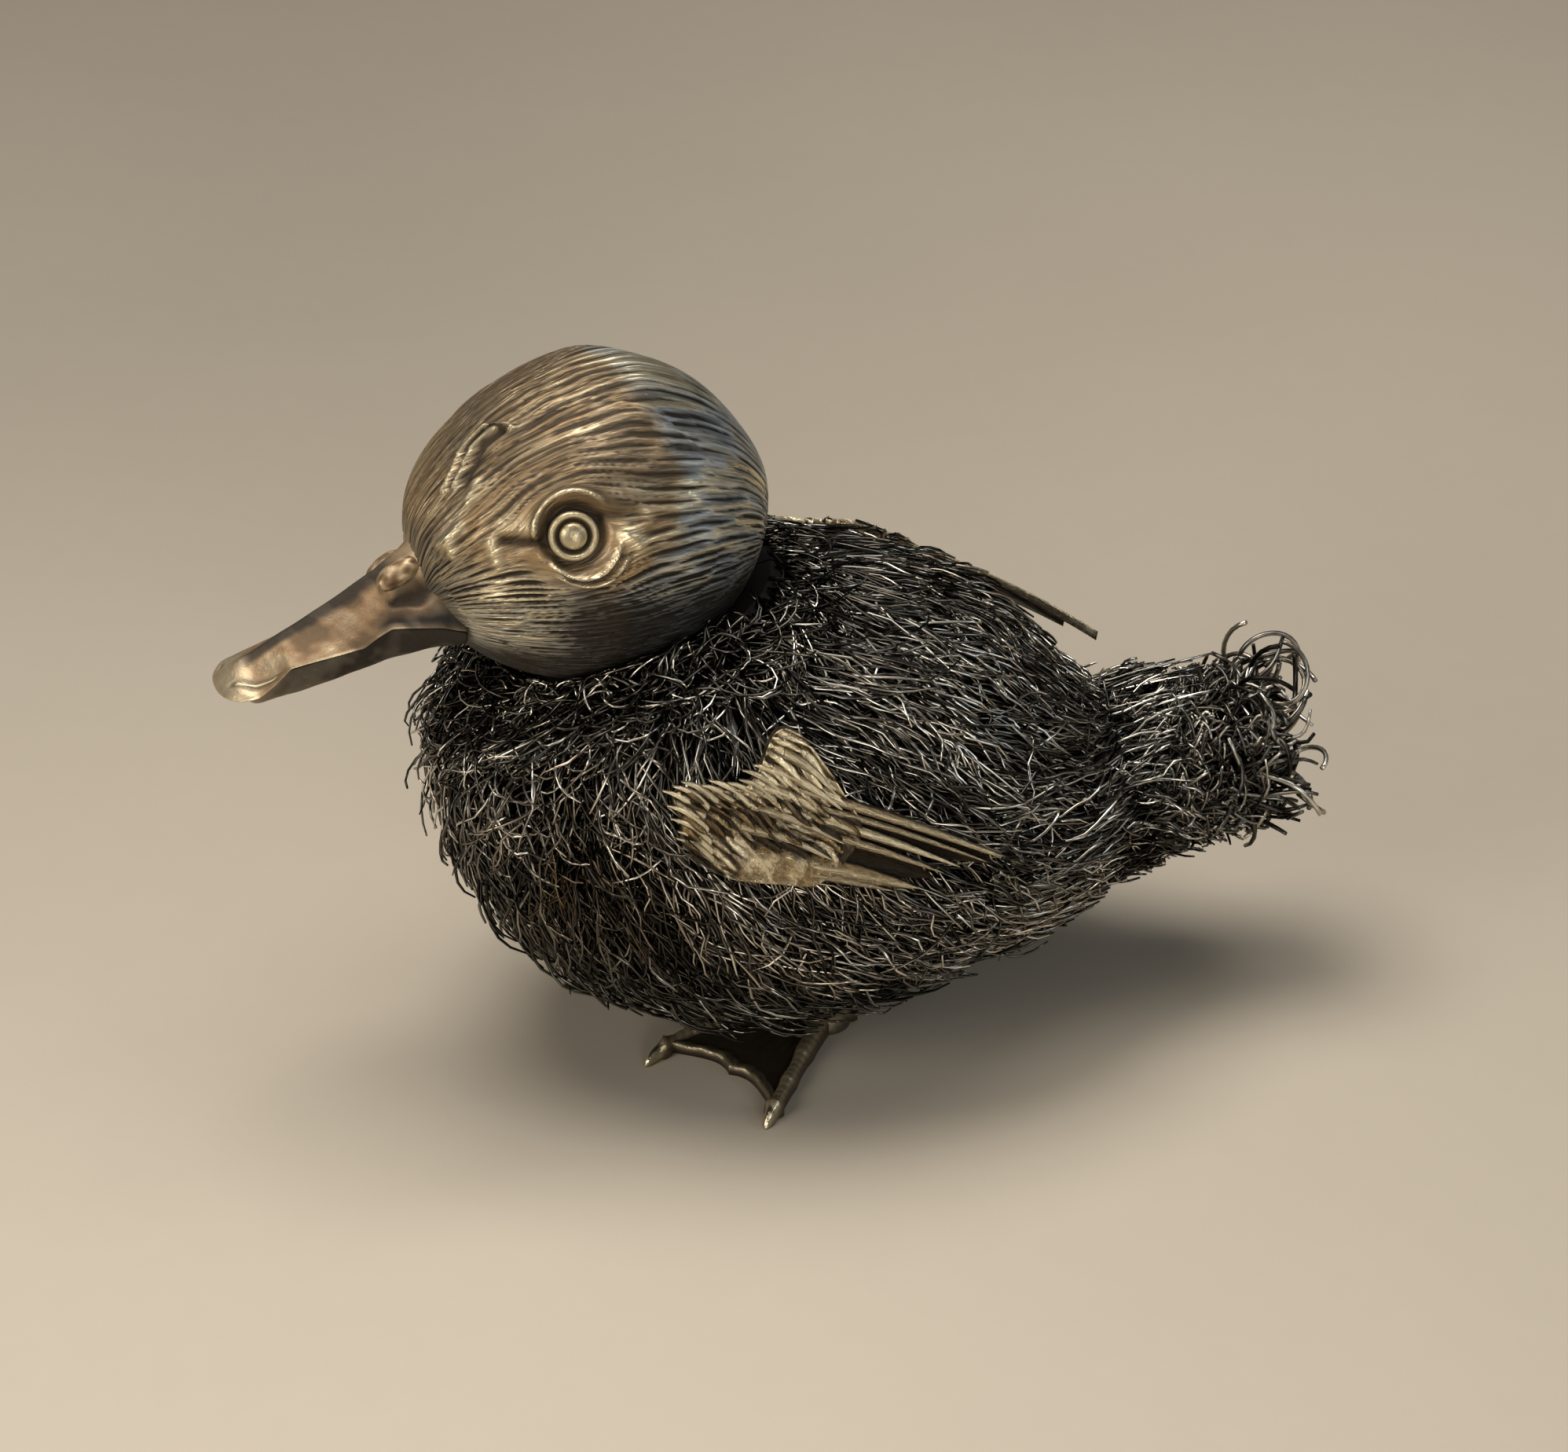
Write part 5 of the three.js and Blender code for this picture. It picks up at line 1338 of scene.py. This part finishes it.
        # The hole beside each mound is a shallow dip painted dark as the mound's shadow.
        hole_and_shadow = held(mark((1.6, 1.02), (3.2, 0.84), 0.6) + mark((3.2, 0.84), (4.9, 0.9), 0.5))
        saddle = hump(fold - np.pi / 2, 0.45) * ease(s, 0.3, 0.0) * over
        plate = mark((0.8, 0.34), (5.2, 0.34), 1.25)
        # The lens on the nail: a dark rim round a bright, raised core, a painted glint.
        lens, core = (mark((15.4, 0.44), (18.2, 1.0), width) for width in (0.5, 0.2))
        lip = hump(fold, 0.12) * (theta < np.pi) * ease(s, 0.0, 0.05)
        nail = ease(s, 0.84, 0.9) * over
        rise = 0.1 * strip + 0.5 * mound - 0.6 * hole_and_shadow - 0.35 * plate + 0.16 * lip + 0.12 * nail
        rise = rise + 0.7 * saddle - 0.3 * lens + 0.35 * core
        groove = 0.75 * strip * (1 - nail) + 0.95 * hole_and_shadow + 0.4 * plate + 0.3 * ease(s, 0.12, 0.02)
        groove = (groove + 0.5 * (arc < 0)) * (1 - 0.8 * mound) + 0.9 * lens * (1 - core)
        worn = 0.06 * ease(s, 0.3, 0.75) + 0.4 * nail + 0.42 * mound + 0.3 * lip + 0.9 * core
        return rise, groove, worn * (1 - 0.7 * strip), 0.95 - 0.8 * plate - 0.3 * nail - 0.4 * strip

    @staticmethod
    def chin(s):
        """Lower bill: dull and cold, a little brighter at its tip."""
        groove = 0.42 + 0.2 * ease(s, 0.5, 0.1) - 0.3 * ease(s, 0.75, 0.95)
        return np.zeros_like(s), groove, 0.2 * ease(s, 0.7, 0.95), np.full_like(s, 0.3)


class DUCKLING_OT_wings(bpy.types.Operator):
    """Makes the wings: an engraved covert lobe, small feathers over it and long blades behind"""

    bl_idname = "duckling.wings"
    bl_label = "Wings"

    def execute(self, context):
        chasing, look = context.scene.duckling_chasing, context.scene.duckling_look
        material = chased_finish("wing_silver", look, look.wing_warm, look.wing_cold, 0.22, 0.85,
                                 worn=0.5, combed=True)
        for side, seat in WING_FRAMES.items():
            piece = Piece(f"{side}_wing_cast")
            self.lobe(piece, seat, chasing)
            self.blades(piece, seat)
            self.feathers(piece, seat)
            self.post(piece, seat)
            piece.make(material, [f"{side}_wing"])
        return {"FINISHED"}

    @staticmethod
    def lobe(piece, seat, chasing):
        """Rings from the outside's middle, over the rim, to the inside's middle; chased outside."""
        rng = np.random.default_rng(LOBE_SEED)
        closed = LOBE + LOBE[:3]
        t = (1 + np.linspace(0, 1, LOBE_SIDES, endpoint=False) * len(LOBE)) / (len(closed) - 1)
        edge = knots(closed, t) * WING_SIZE
        face_share, back_share = np.linspace(0.01, 1, FACE_RINGS), np.linspace(0.97, 0.02, BACK_RINGS)
        share = np.concatenate([face_share, np.ones(3), back_share])
        level = np.concatenate([np.ones(FACE_RINGS), [0.4, -0.4], np.full(1 + BACK_RINGS, -1.0)])
        plan = share[:, None, None] * edge
        along, across = plan[..., 0], plan[..., 1]
        face = np.broadcast_to((level > 0.9)[:, None], along.shape)
        half = WING_THICKNESS / 2
        flat = np.stack([along, across, np.zeros_like(along)], -1)
        lane = (across + 0.44 * along + 0.4 * ripple(flat, 6, rng)) / (chasing.wing_pitch / MM)
        ridge, tone, share_along, tilt = chased(lane, along / 2.7, 9)
        # The lower back of the lobe is a smooth plane, and its upper part, which faces the light, is painted
        # bright as painted light; strokes of low tone get painted glints.
        plane = ease(across, -2.4, -3.3) * ease(along, -2.5, 0.5)
        upper = ease(across, 0, 3.0)
        ridge, tone = ridge + (0.85 - ridge) * plane, tone + (0.4 - tone) * plane
        crown = 0.5 * (1 - share**2)[:, None] * half
        relief = chasing.wing_depth / MM * (ridge - 1) + 0.5 * (tone - 0.5) * ridge
        relief = relief + 0.2 * ripple(flat, 3.0, rng)
        relief = relief + (0.8 * (share_along - 0.5) + 0.3 * tilt) * ridge * (1 - plane)
        out = half * level[:, None] + np.where(face, crown + relief * ease(share, 1.02, 0.94)[:, None], 0)
        groove = np.where(face, held(1.35 * (1 - ridge) + 0.9 * (tone - 0.35) - 0.8 * upper), 0.6)
        # Bright bars on the lower plane are painted highlights.
        facet_highlight = sum(bar(along, across, FACET_HIGHLIGHT_START, end, width) for end, width in FACET_HIGHLIGHTS)
        bright = (held(4.0 * (0.45 - tone)) + 1.2 * upper) * ridge
        bare = np.where(face, bright + facet_highlight + 0.5 * plane * ease(share_along, 0.4, 0.9), 0)
        points = wing_point(seat, along, across, out)
        piece.add(points, groove=groove, warm=0.55 + 0.5 * tone, bare=bare, lane=lane, run=along)

    @staticmethod
    def blade(seat, root, tip, wide, lift, thick, blunt, steps=40, sides=24):
        """One feather: sections with a raised shaft and dark edges, on a line that bows to a tapered tip."""
        s = np.linspace(0, 1, steps)[:, None]
        theta = turns(sides)
        over = np.sin(theta)
        along = root[0] + (tip[0] - root[0]) * s
        across = root[1] + (tip[1] - root[1]) * s + 0.35 * np.sin(np.pi * s)
        taper = np.sqrt(np.clip(1 - np.maximum((s - blunt) / (1 - blunt), 0) ** 2, 0.01, 1))
        half = wide * (1 - 0.55 * s**2) * taper
        x = half * fuller(np.cos(theta), 0.7)
        shaft = 0.16 * hump(x, 0.16) * ease(over, 0, 0.4)
        beside = np.abs(x)
        barbs = 0.05 * np.sin(2 * np.pi * (s * 26 - beside * 1.1))
        barbs = barbs * ease(over, 0, 0.5) * ease(beside, 0.1, 0.3)
        out = lift + thick * fuller(over, 0.6) + shaft + barbs
        edge = 0.75 * ease(beside / half, 0.72, 0.98)
        groove = held(edge + 0.9 * (over < 0) + 0.3 * hump(beside - 0.24, 0.07))
        groove = groove * (1 - 0.6 * hump(x / half, 0.22))
        bare = held(1.1 * hump(x, 0.2) + 0.35 * s) * ease(over, -0.4, 0.1)
        comb = {"lane": x / 0.2, "run": s * np.hypot(*(tip - root)) / 1.5}
        return wing_point(seat, along, across + x, out), groove, bare, comb

    def blades(self, piece, seat):
        """The long feathers, over a black web that paints the shadow in the gaps between them."""
        for root, tip, wide in SHADOW_WEBS:
            rings, _, _, comb = self.blade(seat, root * WING_SIZE, tip * WING_SIZE, wide, **SHADOW_WEB_SHAPE)
            piece.add(rings, groove=0.92, warm=0.5, bare=0.0, **comb)
        for n, (root, tip, wide, warm, darkening, wear) in enumerate(BLADES):
            start = root * WING_SIZE - BLADE_ROOT
            lift = 0.15 - 0.1 * (n % 2)
            rings, groove, bare, comb = self.blade(seat, start, tip * WING_SIZE, wide, lift, **BLADE_SHAPE)
            piece.add(rings, groove=groove + darkening, warm=warm, bare=bare * wear, **comb)

    def feathers(self, piece, seat):
        """Slim coverts over the roots of the blades, and pointed ones that stand past the front edge."""
        rng = np.random.default_rng(FEATHER_SEED)
        for root, tip in COVERTS:
            rings, groove, bare, comb = self.blade(seat, root * WING_SIZE, tip * WING_SIZE, **COVERT_SHAPE)
            groove = groove + 0.3 * rng.random()
            piece.add(rings, groove=groove, warm=0.5 + 0.5 * rng.random(), bare=bare + 0.1, **comb)
        for edge in knots(FRONT_EDGE, FRONT_FEATHERS) * WING_SIZE:
            reach = FRONT_REACH * rng.uniform(0.5, 1.3)
            rings, groove, bare, comb = self.blade(seat, edge + FRONT_ROOT, edge + reach, **FRONT_SHAPE)
            piece.add(rings, groove=0.6 * groove + 0.3 * rng.random(), warm=0.8, bare=bare + 0.2, **comb)

    @staticmethod
    def post(piece, seat, steps=6, sides=20):
        """The riveted post behind the lobe: circles carried straight in."""
        turn = turns(sides)[:, None]
        depth = np.linspace(0, POST_LENGTH, steps)[:, None, None]
        circle = POST_RADIUS * (np.cos(turn) * seat["back"] + np.sin(turn) * seat["up"])
        rings = seat["origin"] + circle - depth * seat["out"]
        piece.add(rings, groove=0.8, warm=0.4, bare=0.0, lane=0.0, run=0.0)


class DUCKLING_OT_feet(bpy.types.Operator):
    """Makes the webbed feet with knuckled toes, claws, ribbed webs and shanks"""

    bl_idname = "duckling.feet"
    bl_label = "Feet"

    def execute(self, context):
        look = context.scene.duckling_look
        material = chased_finish("foot_silver", look, look.foot_warm, look.foot_cold, 0.32, 0.6)
        back = LEG_SETBACK - BREAST_SHARE * BODY_LENGTH
        for side, mirror in MIRROR.items():
            heel = np.array([mirror * LEG_SPREAD / 2, back if side == "left" else back - STRIDE, 0])
            piece = Piece(f"{side}_foot_cast")
            for toe in (*zip(TOE_DEG, TOE_REACH, TOE_BOW), HIND_TOE):
                self.toe(piece, heel, mirror, *toe)
            self.web(piece, heel, mirror)
            self.shank(piece, heel)
            piece.make(material, [f"{side}_foot"])
        return {"FINISHED"}

    @staticmethod
    def ahead(mirror, degrees):
        """Level direction some degrees out from straight ahead, to the foot's own side."""
        angle = np.radians(degrees)
        return np.stack([mirror * np.sin(angle), -np.cos(angle), np.zeros_like(angle)], -1)

    def toe(self, piece, heel, mirror, degrees, run, bow, steps=64, sides=28):
        """Sections with a flat sole along a bowed toe, swollen at the knuckles, with a blunt claw."""
        s = np.linspace(0, 1, steps)[:, None]
        theta = turns(sides)
        way = self.ahead(mirror, float(degrees))
        beside = mirror * np.cross(UP, way)
        far = s * run / TOE_LENGTH
        past = (s - (1 - CLAW_LENGTH / run)) * run
        knuckle = 0.1 * (hump(s - 0.36, 0.06) + hump(s - 0.62, 0.05)) + 0.22 * hump(past, 0.5)
        claw = ease(past, 0.4, 0.8)
        close = np.sqrt(np.clip(1 - np.maximum(past / CLAW_LENGTH, 0) ** 2.5, 0.02, 1))
        slim = ease(far, 0, 0.5)
        wide = TOE_WIDTH / 2 * ((0.95 - 0.35 * slim + knuckle) * (1 - claw) + 0.52 * claw * close)
        high = TOE_HEIGHT * ((1.1 - 0.25 * slim + 1.2 * knuckle) * (1 - claw) + 0.85 * claw * close)
        lump = np.maximum(np.sin(theta), 0)
        scutes = 0.05 * np.sin(2 * np.pi * s * run * 1.25) * ease(lump, 0.3, 0.8) * (1 - claw)
        x = wide * np.cos(theta) + 4 * s * (1 - s) * bow
        z = high * lump**0.8 + scutes
        rings = heel + s[..., None] * run * way + x[..., None] * beside + z[..., None] * UP
        groove = held(0.8 - 0.75 * ease(lump, 0.35, 0.85) + 0.3 * (scutes < -0.02)) * (1 - 0.5 * claw)
        bare = held(0.4 * ease(lump, 0.5, 1) + 0.8 * claw + 2 * knuckle * far)
        piece.add(rings, groove=groove, warm=0.8, bare=bare)

    def web(self, piece, heel, mirror, steps=121, out=40, back=20):
        """A thin web from inner to outer toe: sections run out to a cusped, thick rim and back below."""
        v = np.linspace(0, 1, steps)[:, None]
        degrees, reach, bow = (np.interp(v, [0, 0.5, 1], toes) for toes in (TOE_DEG, TOE_REACH, TOE_BOW))
        outer = ease(v, 0.49, 0.51)
        reach = reach * WEB_SHARE * (1 - 0.14 * np.abs(np.sin(2 * np.pi * v)) ** 0.8 * (1 - outer))
        cusp = 0.2 * np.sin(2 * np.pi * (v - 0.5)) + 0.06 * np.abs(np.sin(4 * np.pi * v)) ** 0.8
        reach = reach * (1 - outer * cusp)
        r = np.concatenate([np.linspace(0.02, 1, out), np.linspace(1, 0.02, back)])
        top = np.repeat([1.0, 0.0], [out, back])
        rib = 0.06 * np.sin(2 * np.pi * v * WEB_RIBS) * ease(r, 0.2, 0.5)
        rim = hump(r - 0.96, 0.045)
        z = top * (WEB_THICKNESS * 0.72 + rib + 0.35 * rim) + 0.05
        away = self.ahead(mirror, degrees)
        sway = 4 * r * (1 - np.minimum(r, WEB_SHARE)) * bow * mirror
        rings = heel + (r * reach)[..., None] * away + sway[..., None] * np.cross(UP, away)
        rings = rings + z[..., None] * UP
        piece.add(rings, groove=held(0.97 - 0.9 * rim * top), warm=0.6, bare=rim * top)

    @staticmethod
    def shank(piece, heel, steps=30, sides=28):
        """A turned leg: a flared ankle that narrows to the ringed shank and goes up into the coat."""
        turn = turns(sides)
        height = np.linspace(0, SHANK_HEIGHT, steps)[:, None]
        radius = SHANK_RADIUS + 0.75 * np.exp(-height / 1.2) + 0.06 * np.sin(height * 4)
        circle = np.stack([np.cos(turn), np.sin(turn), np.zeros_like(turn)], -1)
        rings = heel + radius[..., None] * circle + height[..., None] * UP
        piece.add(rings, groove=0.5 + 0.3 * np.sin(height * 4), warm=0.6, bare=0.1)


class DUCKLING_OT_shell(bpy.types.Operator):
    """Gives the sheet pieces under the fur their dull black finish"""

    bl_idname = "duckling.shell"
    bl_label = "Oxidised shell"

    def execute(self, context):
        material = shell_finish(context.scene.duckling_look)
        plain = ["neck_sleeve", "tail_core"] + [f"body_shell_{side}" for side in SIDES]
        plain += [f"{side}_{name}" for side in SIDES for name in ("wing_washer", "leg_collar")]
        for name in plain:
            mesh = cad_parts[name].data
            mesh.materials.clear()
            mesh.materials.append(material)
        return {"FINISHED"}


class DUCKLING_OT_stage(bpy.types.Operator):
    """Sets the pale table, the soft light and the camera"""

    bl_idname = "duckling.stage"
    bl_label = "Stage"

    def execute(self, context):
        scene, stage = context.scene, context.scene.duckling_stage
        scene.view_settings.view_transform = "Standard"
        mesh = bpy.data.meshes.new("table")
        signs = ((-1, -1), (1, -1), (1, 1), (-1, 1))
        corners = [(x * TABLE_HALF, y * TABLE_HALF, TABLE_TOP) for x, y in signs]
        mesh.from_pydata(corners, [], [(0, 1, 2, 3)])
        mesh.materials.append(table_finish(stage))
        table = bpy.data.objects.new("table", mesh)
        scene.collection.objects.link(table)
        scene.world = bpy.data.worlds.new("room")
        scene.world.use_nodes = True
        room = scene.world.node_tree.nodes["Background"].inputs
        room["Color"].default_value = ROOM_TINT
        room["Strength"].default_value = stage.sky
        for name, (place, size, share, tint) in LAMPS.items():
            self.lamp(scene, name, np.array(place), size, share * stage.key, tint)
        self.camera(scene, stage)
        return {"FINISHED"}

    def lamp(self, scene, name, place, size, power, tint):
        """A round soft lamp that faces the duckling."""
        light = bpy.data.lights.new(name, "AREA")
        light.shape = "DISK"
        light.size = size
        light.energy = power
        light.color = tint
        lamp = bpy.data.objects.new(name, light)
        scene.collection.objects.link(lamp)
        lamp.matrix_world = self.aim(place, LAMP_TARGET)

    def camera(self, scene, stage):
        """The camera on a sphere round its target, by azimuth and elevation."""
        data = bpy.data.cameras.new("camera")
        data.sensor_fit = "HORIZONTAL"
        data.sensor_width = 36
        data.lens = stage.lens
        camera = bpy.data.objects.new("camera", data)
        scene.collection.objects.link(camera)
        level, rise = math.cos(stage.elevation), math.sin(stage.elevation)
        back = np.array([math.sin(stage.azimuth) * level, -math.cos(stage.azimuth) * level, rise])
        target = np.array(stage.target)
        camera.matrix_world = self.aim(target + stage.distance * back, target)
        scene.camera = camera

    @staticmethod
    def aim(eye, target):
        """Placement that looks from eye to target, with Z up."""
        back = unit(eye - target)
        right = unit(np.cross(UP, back))
        placed = np.eye(4)
        placed[:3] = np.stack([right, np.cross(back, right), back, eye], -1)
        return Matrix(placed.tolist())


STEPS = (
    DUCKLING_OT_stage, DUCKLING_OT_shell, DUCKLING_OT_head, DUCKLING_OT_eyes, DUCKLING_OT_bill,
    DUCKLING_OT_wings, DUCKLING_OT_feet, DUCKLING_OT_fur, DUCKLING_OT_ruff, DUCKLING_OT_tail,
)
SETTINGS = {
    "duckling_look": DucklingLook,
    "duckling_wires": DucklingWires,
    "duckling_chasing": DucklingChasing,
    "duckling_stage": DucklingStage,
}


class DUCKLING_PT_panel(bpy.types.Panel):
    """Settings and steps of the duckling"""

    bl_idname = "DUCKLING_PT_panel"
    bl_label = "Wire fur duckling"
    bl_space_type = "VIEW_3D"
    bl_region_type = "UI"
    bl_category = "Duckling"

    def draw(self, context):
        for key, group in SETTINGS.items():
            box = self.layout.box()
            box.label(text=group.__doc__)
            for name in group.__annotations__:
                box.prop(getattr(context.scene, key), name)
        for step in STEPS:
            self.layout.operator(step.bl_idname)


CLASSES = (*SETTINGS.values(), *STEPS, DUCKLING_PT_panel)


def register():
    """Registers the classes and hangs the settings on the scene."""
    for cls in CLASSES:
        bpy.utils.register_class(cls)
    for key, group in SETTINGS.items():
        setattr(bpy.types.Scene, key, PointerProperty(type=group))


def unregister():
    """Takes the settings off the scene and unregisters the classes."""
    for key in SETTINGS:
        delattr(bpy.types.Scene, key)
    for cls in reversed(CLASSES):
        bpy.utils.unregister_class(cls)


def main():
    """Registers the classes and settings, then runs the steps in order."""
    register()
    for step in STEPS:
        group, name = step.bl_idname.split(".")
        getattr(getattr(bpy.ops, group), name)()


if __name__ == "__main__":
    main()
